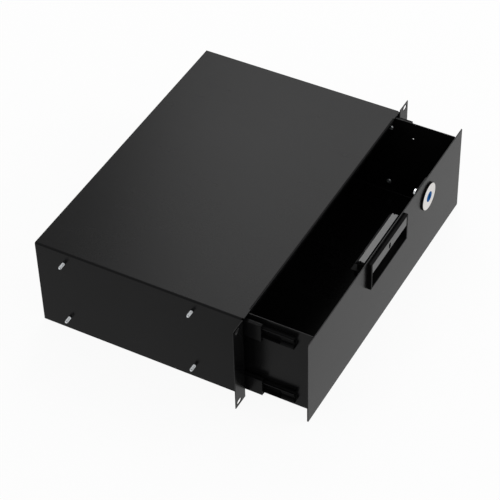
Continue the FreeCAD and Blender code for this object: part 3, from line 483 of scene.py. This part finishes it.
CHROME = Finish(
    "dark chrome", "chrome_lock", Skin.POLISHED, (0.3, 0.305, 0.315),
    (0.18, 0.18, 0.18), 0.16, 0.04, metallic=1.0, grain=2600.0, relief=0.002 * MM, edge=0.12 * MM,
)
PALE_RING = Finish(
    "pale lock ring", "white_face", Skin.MOULDED, (0.78, 0.755, 0.73),
    (0.5, 0.48, 0.46), 0.34, 0.05, specular=0.5, grain=1800.0, relief=0.006 * MM, edge=0.25 * MM,
    wear_and_highlight=0.4,
)
BLUE_PLUG = Finish(
    "blue plug", "blue_plug", Skin.MOULDED, (0.001, 0.085, 0.3),
    (0.006, 0.12, 0.33), 0.4, 0.04, specular=0.004, grain=1700.0, relief=0.004 * MM,
    edge=0.15 * MM, wear_and_highlight=0.4,
)
FINISHES = (
    POWDER_COAT, BLACK_MOULDING, MATT_MOULDING, BLACK_ZINC, BRIGHT_ZINC, POLISHED_STEEL,
    PLAIN_STRIP, CHROME, PALE_RING, BLUE_PLUG,
)


class Shelf:
    """Materials made once, by their finish."""

    def __init__(self) -> None:
        """Makes every finish's material."""
        self.made = {finish.name: finish.material() for finish in FINISHES}

    def dress(self, piece: bpy.types.Object, finish: Finish) -> None:
        """Gives a piece one finish.

        Args:
            piece: The piece.
            finish: Its finish.
        """
        piece.data.materials.clear()
        piece.data.materials.append(self.made[finish.name])


class Workshop:
    """Shared ways of making pieces."""

    def __init__(self, shelf: Shelf) -> None:
        """Keeps the materials."""
        self.shelf = shelf

    def carry(self, node: str, finish: Finish) -> None:
        """Keeps a solid as it is, with a finish.

        Args:
            node: The solid's name.
            finish: Its finish.
        """
        self.shelf.dress(frame["nodes"][node], finish)

    def place(
        self,
        name: str,
        mesh: bmesh.types.BMesh,
        body: str,
        finish: Finish,
        nodes: Sequence[str] = (),
    ) -> bpy.types.Object:
        """Turns a mesh into a finished piece.

        Args:
            name: The piece's name.
            mesh: Its mesh, in metres in the row's frame; it is freed.
            body: The body that it rides on.
            finish: Its finish.
            nodes: The solids that it stands for.

        Returns:
            The piece.
        """
        data = bpy.data.meshes.new(name)
        mesh.to_mesh(data)
        mesh.free()
        data.shade_smooth()
        data.set_sharp_from_angle(angle=SHARP_ANGLE)
        piece = bpy.data.objects.new(name, data)
        bpy.context.scene.collection.objects.link(piece)
        weighted = piece.modifiers.new("even shading", "WEIGHTED_NORMAL")
        weighted.keep_sharp = True
        self.shelf.dress(piece, finish)
        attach(piece, body)
        if nodes:
            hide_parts(*nodes)
        log.info("%s: %d faces", name, len(data.polygons))
        return piece

    def soften(
        self, node: str, body: str, finish: Finish, width: float, shortest: float = 4.0 * MM
    ) -> bpy.types.Object:
        """Stands a copy with rounded edges in for a solid.

        Args:
            node: The solid's name.
            body: The body that it rides on.
            finish: Its finish.
            width: How wide the rounding is.
            shortest: The shortest edge that is rounded.

        Returns:
            The piece.
        """
        mesh = welded_copy(node)
        chosen = [
            edge
            for edge in mesh.edges
            if len(edge.link_faces) == 2
            and edge.calc_face_angle() > CORNER_ANGLE
            and edge.calc_length() > shortest
        ]
        bmesh.ops.bevel(
            mesh, geom=chosen, offset=width, offset_type="OFFSET", segments=2, profile=0.5,
            affect="EDGES", clamp_overlap=False, material=-1,
        )
        return self.place(node + "_dressed", mesh, body, finish, (node,))


def welded_copy(node: str) -> bmesh.types.BMesh:
    """Copy of a solid's mesh with its loose triangles joined.

    Args:
        node: The solid's name.

    Returns:
        The joined mesh.
    """
    mesh = bmesh.new()
    mesh.from_mesh(frame["nodes"][node].data)
    bmesh.ops.remove_doubles(mesh, verts=mesh.verts, dist=MERGE_DISTANCE)
    bmesh.ops.dissolve_limit(mesh, angle_limit=FLAT_ANGLE, verts=mesh.verts, edges=mesh.edges)
    return mesh


def islands(node: str) -> list[tuple[Vector, Vector]]:
    """Boxes of the separate solids of a node.

    Args:
        node: The node's name.

    Returns:
        The lowest and highest corner of each solid.
    """
    mesh = welded_copy(node)
    waiting = set(mesh.verts)
    boxes = []
    while waiting:
        front = [waiting.pop()]
        found = []
        while front:
            vert = front.pop()
            found.append(vert.co.copy())
            for edge in vert.link_edges:
                other = edge.other_vert(vert)
                if other in waiting:
                    waiting.remove(other)
                    front.append(other)
        low = Vector([min(point[axis] for point in found) for axis in range(3)])
        high = Vector([max(point[axis] for point in found) for axis in range(3)])
        boxes.append((low, high))
    mesh.free()
    return boxes


def spun(profile: Sequence[tuple[float, float]], steps: int = 48) -> bmesh.types.BMesh:
    """Turned form about the Z axis.

    Args:
        profile: Radius and height of each point.
        steps: How many facets go round.

    Returns:
        The closed mesh.
    """
    mesh = bmesh.new()
    verts = [mesh.verts.new((radius, 0.0, height)) for radius, height in profile]
    edges = [mesh.edges.new(pair) for pair in zip(verts, verts[1:])]
    bmesh.ops.spin(
        mesh, geom=verts + edges, cent=(0, 0, 0), axis=(0, 0, 1), angle=2 * math.pi, steps=steps,
        use_merge=True,
    )
    bmesh.ops.remove_doubles(mesh, verts=mesh.verts, dist=MERGE_DISTANCE)
    bmesh.ops.recalc_face_normals(mesh, faces=mesh.faces)
    return mesh


def pointing(direction: Vector, spot: Vector) -> Matrix:
    """Placement that turns +Z to a direction and moves it to a spot."""
    return Matrix.Translation(spot) @ direction.to_track_quat("Z", "Y").to_matrix().to_4x4()


class Cut(Enum):
    """What is kept where two closed forms meet."""

    OUTSIDE = "DIFFERENCE"
    COMMON = "INTERSECT"


def carved(
    body: bmesh.types.BMesh, cutter: bmesh.types.BMesh, kept: Cut = Cut.OUTSIDE
) -> bmesh.types.BMesh:
    """Cuts one closed form with another.

    Args:
        body: The form that is cut; it is freed.
        cutter: The form that cuts; it is freed.
        kept: Whether the part outside the cutter or the shared part stays.

    Returns:
        What is left.
    """
    objects = []
    for label, mesh in (("carved body", body), ("carving tool", cutter)):
        data = bpy.data.meshes.new(label)
        mesh.to_mesh(data)
        mesh.free()
        item = bpy.data.objects.new(label, data)
        bpy.context.scene.collection.objects.link(item)
        objects.append(item)
    cut = objects[0].modifiers.new("cut", "BOOLEAN")
    cut.operation = kept.value
    cut.solver = "EXACT"
    cut.object = objects[1]
    bpy.context.view_layer.update()
    evaluated = objects[0].evaluated_get(bpy.context.evaluated_depsgraph_get())
    result = bmesh.new()
    result.from_mesh(evaluated.to_mesh())
    evaluated.to_mesh_clear()
    for item in objects:
        data = item.data
        bpy.data.objects.remove(item)
        bpy.data.meshes.remove(data)
    return result


@dataclass
class Thread:
    """Helical ridge along +Z."""

    radius: float
    pitch: float
    facets: int = 20
    depth_share: float = 0.55
    crest_start: float = 0.42
    crest_end: float = 0.56

    @property
    def root(self) -> float:
        """Radius at the bottom of the thread."""
        return self.radius - self.depth_share * self.pitch

    def ridge(self, start: float, end: float) -> bmesh.types.BMesh:
        """The ridge alone, to go round a core of the root's radius.

        Args:
            start: Where it begins.
            end: Where it has run out.

        Returns:
            Its mesh.
        """
        mesh = bmesh.new()
        outline = [(self.root, 0.0), (self.radius, self.crest_start * self.pitch),
                   (self.radius, self.crest_end * self.pitch), (self.root, self.pitch)]
        turns = max(1, int((end - start) / self.pitch) - 1)
        verts = [mesh.verts.new((radius, 0.0, start + rise)) for radius, rise in outline]
        edges = [mesh.edges.new(pair) for pair in zip(verts, verts[1:])]
        swept = bmesh.ops.spin(
            mesh, geom=verts + edges, cent=(0, 0, 0), axis=(0, 0, 1), angle=2 * math.pi * turns,
            steps=self.facets * turns, dvec=(0, 0, self.pitch / self.facets), use_merge=False,
        )
        last = [item for item in swept["geom_last"] if isinstance(item, bmesh.types.BMVert)]
        for end in (verts, last):
            mesh.faces.new(end)
        bmesh.ops.remove_doubles(mesh, verts=mesh.verts, dist=MERGE_DISTANCE)
        bmesh.ops.recalc_face_normals(mesh, faces=mesh.faces)
        return mesh


HEAD_OUTLINE = (
    (0.97, 0.0), (1.0, 0.06), (1.0, 0.42), (0.965, 0.62), (0.87, 0.82), (0.7, 0.94), (0.45, 1.0),
    (0.0, 1.0),
)


@dataclass
class Screw:
    """Pan-head screw along +Z, its seat at the origin, with a cross recess and a real thread."""

    radius: float = 2.0 * MM
    head_radius: float = 3.7 * MM
    head_height: float = 1.7 * MM
    length: float = 12.0 * MM
    pitch: float = 0.7 * MM
    thread_start: float = 0.0
    foot_radius: float = 2.98 * MM
    foot_height: float = 0.6 * MM
    head_facets: int = 32
    recess_turns: tuple[float, float] = (20.0, 110.0)
    wing_length: float = 1.02
    wing_width: float = 0.24
    wing_height: float = 1.5
    wing_rise: float = 1.05
    wing_taper: float = 0.55
    core_share: float = 1.01
    tip_length: float = 0.7
    tip_share: float = 0.72
    runout: float = 0.9

    def foot(self) -> bmesh.types.BMesh:
        """The flat disc that a plain stud is pressed in by.

        Returns:
            Its mesh.
        """
        return spun([
            (0.0, 0.0), (self.foot_radius, 0.0), (self.foot_radius, self.foot_height),
            (0.0, self.foot_height),
        ], self.head_facets)

    def wing(self, turn: float) -> bmesh.types.BMesh:
        """One tapered blade of the driver that cuts the recess.

        Args:
            turn: How far it is turned about the axis, in degrees.

        Returns:
            Its mesh.
        """
        mesh = bmesh.new()
        verts = bmesh.ops.create_cube(mesh, size=1.0)["verts"]
        rim, height = self.head_radius, self.head_height
        size = Matrix.Diagonal(
            (rim * self.wing_length, rim * self.wing_width, height * self.wing_height, 1.0)
        )
        turned = Matrix.Rotation(math.radians(turn), 4, "Z")
        shift = Matrix.Translation((0.0, 0.0, -height * self.wing_rise))
        bmesh.ops.transform(mesh, matrix=turned @ shift @ size, verts=verts)
        inner = [vert for vert in verts if vert.co.z > -height]
        bmesh.ops.scale(mesh, vec=(self.wing_taper, self.wing_taper, 1.0), verts=inner)
        return mesh

    def head(self) -> bmesh.types.BMesh:
        """The head, with its cross recess cut.

        Returns:
            Its mesh.
        """
        outline = [(0.0, 0.0)]
        outline += [(self.head_radius * out, -self.head_height * up) for out, up in HEAD_OUTLINE]
        body = spun(outline, self.head_facets)
        for turn in self.recess_turns:
            body = carved(body, self.wing(turn))
        return body

    def shank(self) -> bmesh.types.BMesh:
        """The shank: a core with a thread and a chamfered tip.

        Returns:
            Its mesh.
        """
        thread = Thread(self.radius, self.pitch)
        core = thread.root * self.core_share
        mesh = spun([
            (0.0, 0.0), (core, 0.0), (core, self.length - self.tip_length * self.pitch),
            (core * self.tip_share, self.length), (0.0, self.length),
        ], thread.facets)
        join(mesh, thread.ridge(self.thread_start, self.length - self.runout * self.pitch))
        return mesh

    def build(self, with_head: bool = True) -> bmesh.types.BMesh:
        """The whole screw.

        Args:
            with_head: False makes a plain stud.

        Returns:
            Its mesh.
        """
        mesh = self.shank()
        join(mesh, self.head() if with_head else self.foot())
        return mesh


@dataclass
class Hexagon:
    """Hexagon nut or bolt head along +Z with chamfered corners, its seat at the origin."""

    across_flats: float
    height: float
    bore: float = 0.0
    chamfer: float = 0.35 * MM
    past: float = 0.1 * MM
    clearance: float = 1.02
    crown_share: float = 0.97
    facets: int = 60
    bore_facets: int = 40

    def build(self, turn: float = 0.0) -> bmesh.types.BMesh:
        """The chamfered hexagon.

        Args:
            turn: How far it is turned about its axis, in degrees.

        Returns:
            Its mesh.
        """
        corner = self.across_flats / math.sqrt(3.0)
        prism = bmesh.new()
        cap = bmesh.ops.create_circle(prism, cap_ends=True, segments=6, radius=corner)["verts"]
        bmesh.ops.rotate(prism, verts=cap, matrix=Matrix.Rotation(math.radians(turn), 3, "Z"))
        grown = bmesh.ops.extrude_face_region(prism, geom=prism.faces[:])["geom"]
        bmesh.ops.translate(
            prism, vec=(0.0, 0.0, self.height),
            verts=[item for item in grown if isinstance(item, bmesh.types.BMVert)],
        )
        bmesh.ops.recalc_face_normals(prism, faces=prism.faces)
        flat = self.across_flats / 2
        low, high = -self.past, self.height
        wide = corner * self.clearance
        outline = [(0.0, low), (wide, low), (wide, high - self.chamfer),
                   (flat * self.crown_share, high), (0.0, high)]
        shaped = carved(prism, spun(outline, self.facets), Cut.COMMON)
        if not self.bore:
            return shaped
        mouth = self.bore + self.chamfer
        above = high + self.past
        hole = [(0.0, low), (self.bore, low), (self.bore, high - self.chamfer), (mouth, high),
                (mouth, above), (0.0, above)]
        return carved(shaped, spun(hole, self.bore_facets))


def join(
    target: bmesh.types.BMesh,
    part: bmesh.types.BMesh,
    matrix: Optional[Matrix] = None,
    keep: bool = False,
) -> None:
    """Adds one mesh to another.

    Args:
        target: The mesh that grows.
        part: The mesh that is added.
        matrix: Where it goes; it stays in place without one.
        keep: True leaves the part for further use.
    """
    data = bpy.data.meshes.new("joined part")
    part.to_mesh(data)
    if matrix is not None:
        data.transform(matrix)
    target.from_mesh(data)
    bpy.data.meshes.remove(data)
    if not keep:
        part.free()


@dataclass
class Fasteners:
    """Screws, studs and nuts, with threads, cross recesses and chamfers."""

    case_screw_length: float = 12.0 * MM
    tray_screw_length: float = 5.0 * MM
    panel_screw_length: float = 8.0 * MM
    plain_length: float = 1.2 * MM
    stud_length: float = 8.6 * MM
    stud_plain_length: float = 1.6 * MM
    nut_bore: float = 2.02 * MM

    def row(
        self, node: str, template: Screw, axis: Vector, headed: bool = True
    ) -> bmesh.types.BMesh:
        """A copy of a screw at each solid of a node.

        Args:
            node: The node of screws.
            template: The screw.
            axis: Which way they point; for X it is mirrored on the left.
            headed: False for plain studs.

        Returns:
            All of them in one mesh.
        """
        mesh = bmesh.new()
        one = template.build(headed)
        for low, high in islands(node):
            middle = (low + high) / 2
            heading = axis.copy()
            if abs(axis.x) > 0.5:
                heading *= 1.0 if middle.x > 0 else -1.0
            reach = abs((high - low).dot(heading)) / 2
            spot = middle - heading * reach
            if headed:
                spot += heading * template.head_height
            join(mesh, one, pointing(heading, spot), keep=True)
        one.free()
        return mesh

    def nuts(self, node: str) -> bmesh.types.BMesh:
        """Chamfered nuts in the place of the plain ones on the panel's studs.

        Args:
            node: The node of nuts.

        Returns:
            All of them in one mesh.
        """
        mesh = bmesh.new()
        places = islands(node)
        size = places[0][1] - places[0][0]
        turn = CORNER_TURN if size.z < size.x else 0.0
        nut = Hexagon(min(size.x, size.z), size.y, self.nut_bore).build(turn)
        for low, high in places:
            seat = Vector(((low.x + high.x) / 2, low.y, (low.z + high.z) / 2))
            matrix = Matrix.Translation(seat) @ Matrix.Rotation(math.radians(-90.0), 4, "X")
            join(mesh, nut, matrix, keep=True)
        nut.free()
        return mesh

    def build(self, shop: Workshop) -> None:
        """Makes the screws and nuts.

        Args:
            shop: Where pieces are made.
        """
        long_screw = Screw(length=self.case_screw_length, thread_start=self.plain_length)
        short_screw = Screw(length=self.tray_screw_length)
        panel_screw = Screw(length=self.panel_screw_length, thread_start=self.plain_length)
        stud = Screw(length=self.stud_length, thread_start=self.stud_plain_length)
        rows = (
            ("case_slide_screws", long_screw, AXIS_X, "case", True),
            ("tray_slide_screws", short_screw, AXIS_X, "drawer", True),
            ("rear_panel_screws", panel_screw, -AXIS_Y, "case", True),
            ("panel_studs", stud, AXIS_Y, "drawer", False),
        )
        for node, template, axis, body, headed in rows:
            mesh = self.row(node, template, axis, headed)
            shop.place(node + "_threaded", mesh, body, BRIGHT_ZINC, (node,))
        nuts = self.nuts("panel_nuts")
        shop.place("panel_nuts_chamfered", nuts, "drawer", BRIGHT_ZINC, ("panel_nuts",))
        for node in ("clamp_screws", "handle_clamps"):
            shop.carry(node, BRIGHT_ZINC)


@dataclass
class CaseShell:
    """The folded case, its back and the strike."""

    rounding: float = 0.3 * MM

    def build(self, shop: Workshop) -> None:
        """Dresses the case.

        Args:
            shop: Where pieces are made.
        """
        shop.soften("case_shell", "case", POWDER_COAT, self.rounding)
        shop.soften("rear_panel", "case", POWDER_COAT, self.rounding)
        shop.carry("lock_strike", POWDER_COAT)


@dataclass
class SlideSet:
    """Four ball-bearing slides."""

    rounding: float = 0.15 * MM
    shortest: float = 3.0 * MM

    def build(self, shop: Workshop) -> None:
        """Dresses the slides' members, balls, levers and bumpers.

        Args:
            shop: Where pieces are made.
        """
        for side in SIDES:
            for level in LEVELS:
                tag = "_" + side + "_" + level
                for member, body in (("case_member", "case"), ("middle_member", "middle" + tag),
                                     ("drawer_member", "drawer")):
                    shop.soften(member + tag, body, BLACK_ZINC, self.rounding, self.shortest)
                for retainer in ("outer_retainer", "inner_retainer"):
                    shop.carry(retainer + tag, PLAIN_STRIP)
                for balls in ("outer_balls", "inner_balls"):
                    shop.carry(balls + tag, POLISHED_STEEL)
                shop.carry("release_lever" + tag, BLACK_MOULDING)
        shop.carry("detent_bumpers", MATT_MOULDING)
        shop.carry("lever_pins", POLISHED_STEEL)


@dataclass
class Tray:
    """The folded tray and its front panel."""

    rounding: float = 0.3 * MM
    panel_rounding: float = 0.4 * MM

    def build(self, shop: Workshop) -> None:
        """Dresses the tray and the panel.

        Args:
            shop: Where pieces are made.
        """
        shop.soften("drawer_tray", "drawer", POWDER_COAT, self.rounding)
        shop.soften("front_panel", "drawer", POWDER_COAT, self.panel_rounding)


@dataclass
class Handle:
    """Recessed handle, paddle and latch."""

    housing_rounding: float = 0.3 * MM
    paddle_rounding: float = 0.25 * MM
    tongue_rounding: float = 0.35 * MM
    shortest: float = 2.0 * MM

    def build(self, shop: Workshop) -> None:
        """Dresses the handle's pieces.

        Args:
            shop: Where pieces are made.
        """
        rows = (
            ("handle_housing", "drawer", MATT_MOULDING, self.housing_rounding),
            ("handle_paddle", "paddle", BLACK_MOULDING, self.paddle_rounding),
            ("latch_tongue", "tongue", BLACK_MOULDING, self.tongue_rounding),
        )
        for node, body, finish, width in rows:
            shop.soften(node, body, finish, width, self.shortest)
        for node in ("paddle_pin", "latch_pins"):
            shop.carry(node, POLISHED_STEEL)
        self.springs(shop)

    def springs(self, shop: Workshop) -> None:
        """Stands a copy in for the latch springs; it rides with the drawer at full length and does
        not shorten as the tongue goes down.

        Args:
            shop: Where pieces are made.
        """
        node = "latch_springs"
        low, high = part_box(node)
        joint = next(item for item in frame["joints"] if item["name"] == "tongue_slide")
        coils = shop.place(node + "_coiled", welded_copy(node), "drawer", POLISHED_STEEL, (node,))
        keep = 1.0 - max(joint["range_m"]) / (high[2] - low[2])
        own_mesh(coils)


@dataclass
class Lock:
    """Cam lock in its collar, with a threaded barrel."""

    thread_pitch: float = 1.0 * MM
    thread_radius: float = 9.5 * MM
    flange_height: float = 1.0 * MM
    front_bore: float = 7.35 * MM
    plug_bore: float = 6.05 * MM
    shoulder: float = 0.8 * MM
    barrel_edge: float = 0.2 * MM
    tip_chamfer: float = 0.8 * MM
    core_share: float = 1.005
    thread_facets: int = 48
    barrel_facets: int = 72
    nut_chamfer: float = 0.8 * MM
    head_height: float = 2.8 * MM
    head_across_flats: float = 7.0 * MM
    head_chamfer: float = 0.4 * MM
    collar_rounding: float = 0.15 * MM
    shortest: float = 0.2 * MM

    def barrel(self) -> bmesh.types.BMesh:
        """Flanged tube with a thread round it, along +Z from its front.

        Returns:
            Its mesh.
        """
        low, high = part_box("lock_barrel")
        length = high[1] - low[1]
        rim = (high[0] - low[0]) / 2
        thread = Thread(self.thread_radius, self.thread_pitch, self.thread_facets)
        core = thread.root * self.core_share
        back = self.flange_height
        edge, tip = self.barrel_edge, self.tip_chamfer
        mesh = spun([
            (self.front_bore, 0.0), (rim - edge, 0.0), (rim, edge), (rim, back), (core, back),
            (core, length - tip), (core - tip, length), (self.plug_bore, length),
            (self.plug_bore, self.shoulder), (self.front_bore, self.shoulder),
            (self.front_bore, 0.0),
        ], self.barrel_facets)
        join(mesh, thread.ridge(back, length - tip))
        return mesh

    def seated(self, mesh: bmesh.types.BMesh, depth: float) -> bmesh.types.BMesh:
        """Turns a mesh along the lock's axis.

        Args:
            mesh: A form along +Z.
            depth: Where its origin goes, along +Y.

        Returns:
            The same mesh.
        """
        low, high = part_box("lock_barrel")
        axis = Vector(((low[0] + high[0]) / 2, depth, (low[2] + high[2]) / 2))
        matrix = Matrix.Translation(axis) @ Matrix.Rotation(math.radians(-90.0), 4, "X")
        bmesh.ops.transform(mesh, matrix=matrix, verts=mesh.verts)
        return mesh

    def build(self, shop: Workshop) -> None:
        """Makes the barrel, the nut and the cam's bolt, and dresses the rest.

        Args:
            shop: Where pieces are made.
        """
        barrel = self.seated(self.barrel(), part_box("lock_barrel")[0][1])
        shop.place("lock_barrel_threaded", barrel, "drawer", CHROME, ("lock_barrel",))
        low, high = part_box("lock_nut")
        flats = min(high[0] - low[0], high[2] - low[2])
        nut = Hexagon(flats, high[1] - low[1], self.thread_radius, self.nut_chamfer)
        turn = CORNER_TURN if high[0] - low[0] > high[2] - low[2] else 0.0
        nut_mesh = self.seated(nut.build(turn), low[1])
        shop.place("lock_nut_chamfered", nut_mesh, "drawer", CHROME, ("lock_nut",))
        low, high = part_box("cam_screw")
        bolt = Hexagon(self.head_across_flats, self.head_height, chamfer=self.head_chamfer)
        bolt = bolt.build(CORNER_TURN)
        shank = Screw(length=high[1] - low[1] - self.head_height).shank()
        join(bolt, shank, Matrix.Rotation(math.pi, 4, "X"))
        bolt = self.seated(bolt, high[1] - self.head_height)
        shop.place("cam_bolt_threaded", bolt, "lock_core", BRIGHT_ZINC, ("cam_screw",))
        shop.carry("cam_washer", BRIGHT_ZINC)
        shop.carry("lock_cam", BLACK_ZINC)
        shop.soften(
            "lock_collar", "drawer", MATT_MOULDING, self.collar_rounding, self.shortest
        )
        shop.carry("lock_face", PALE_RING)
        shop.carry("lock_plug", BLUE_PLUG)


@dataclass
class Studio:
    """Floor, soft lamps, world and camera."""

    floor_size: float = 14.0
    floor_gap: float = 0.2 * MM
    floor_tone: Colour = (0.86, 0.86, 0.86)
    floor_glow: float = 0.93
    world_light: float = 0.62
    lamp_aim: tuple[float, float, float] = (0.0, 0.1, 0.0)
    lamp_size: float = 1.2
    back_lamp: tuple[float, float, float] = (1.75, 0.75, 1.9)
    back_power: float = 18.0
    front_lamp: tuple[float, float, float] = (0.9, -2.0, 1.3)
    front_power: float = 16.0
    lens: float = 139.2
    position: tuple[float, float, float] = (-1.6009, -0.79587, 1.68691)
    turn: tuple[float, float, float] = (46.6071, 1.1997, -61.6441)

    def floor(self) -> None:
        """Pale floor under the object, that keeps its shadow."""
        low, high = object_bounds()
        mesh = bmesh.new()
        bmesh.ops.create_grid(mesh, x_segments=1, y_segments=1, size=self.floor_size / 2)
        bmesh.ops.translate(mesh, verts=mesh.verts, vec=(0.0, 0.0, low.z - self.floor_gap))
        data = bpy.data.meshes.new("floor")
        mesh.to_mesh(data)
        mesh.free()
        floor = bpy.data.objects.new("floor", data)
        bpy.context.scene.collection.objects.link(floor)
        board = NodeBoard(bpy.data.materials.new("pale floor"))
        matt = board.node("ShaderNodeBsdfDiffuse", {}, {"Color": _opaque(self.floor_tone)})
        glow = board.node("ShaderNodeEmission", {}, {"Color": WHITE, "Strength": 1.0})
        mixed = board.merged(board.seen() * self.floor_glow, matt, glow)
        data.materials.append(board.finish(mixed))
        floor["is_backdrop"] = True

    def world(self) -> None:
        """Even light from all round, white where it is seen."""
        board = NodeBoard(bpy.data.worlds.new("studio"))
        lit = board.node("ShaderNodeBackground", {}, {"Color": WHITE, "Strength": self.world_light})
        white = board.node("ShaderNodeBackground", {}, {"Color": WHITE, "Strength": 1.0})
        bpy.context.scene.world = board.finish(board.merged(board.seen(), lit, white))

    def lamp(self, name: str, spot: Vector, power: float) -> None:
        """Adds one square soft lamp.

        Args:
            name: Its name.
            spot: Where it hangs.
            power: Its power in watts.
        """
        light = bpy.data.lights.new(name, "AREA")
        light.shape = "SQUARE"
        light.size = self.lamp_size
        light.energy = power
        lamp = bpy.data.objects.new(name, light)
        lamp.location = spot
        away = spot - Vector(self.lamp_aim)
        lamp.rotation_euler = away.to_track_quat("Z", "Y").to_euler()
        bpy.context.scene.collection.objects.link(lamp)

    def camera(self) -> None:
        """Camera at the product view's place."""
        data = bpy.data.cameras.new("camera")
        data.lens = self.lens
        data.sensor_width = 36.0
        data.clip_end = 30.0
        camera = bpy.data.objects.new("camera", data)
        camera.location = self.position
        camera.rotation_euler = Euler([math.radians(angle) for angle in self.turn], "XYZ")
        bpy.context.scene.collection.objects.link(camera)
        bpy.context.scene.camera = camera

    def build(self) -> None:
        """Sets the stage."""
        self.camera()
        self.floor()
        self.world()
        self.lamp("back softbox", Vector(self.back_lamp), self.back_power)
        self.lamp("front softbox", Vector(self.front_lamp), self.front_power)
        bpy.context.scene.view_settings.view_transform = "Standard"


def main() -> None:
    """Builds the scene in order and logs each assembly as it is built."""
    logging.basicConfig(level=logging.INFO, format="%(name)s %(message)s")
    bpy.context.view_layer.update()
    Studio().build()
    shop = Workshop(Shelf())
    for assembly in (CaseShell(), SlideSet(), Tray(), Handle(), Lock(), Fasteners()):
        assembly.build(shop)
        log.info("%s built", type(assembly).__name__)


if __name__ == "__main__":
    main()
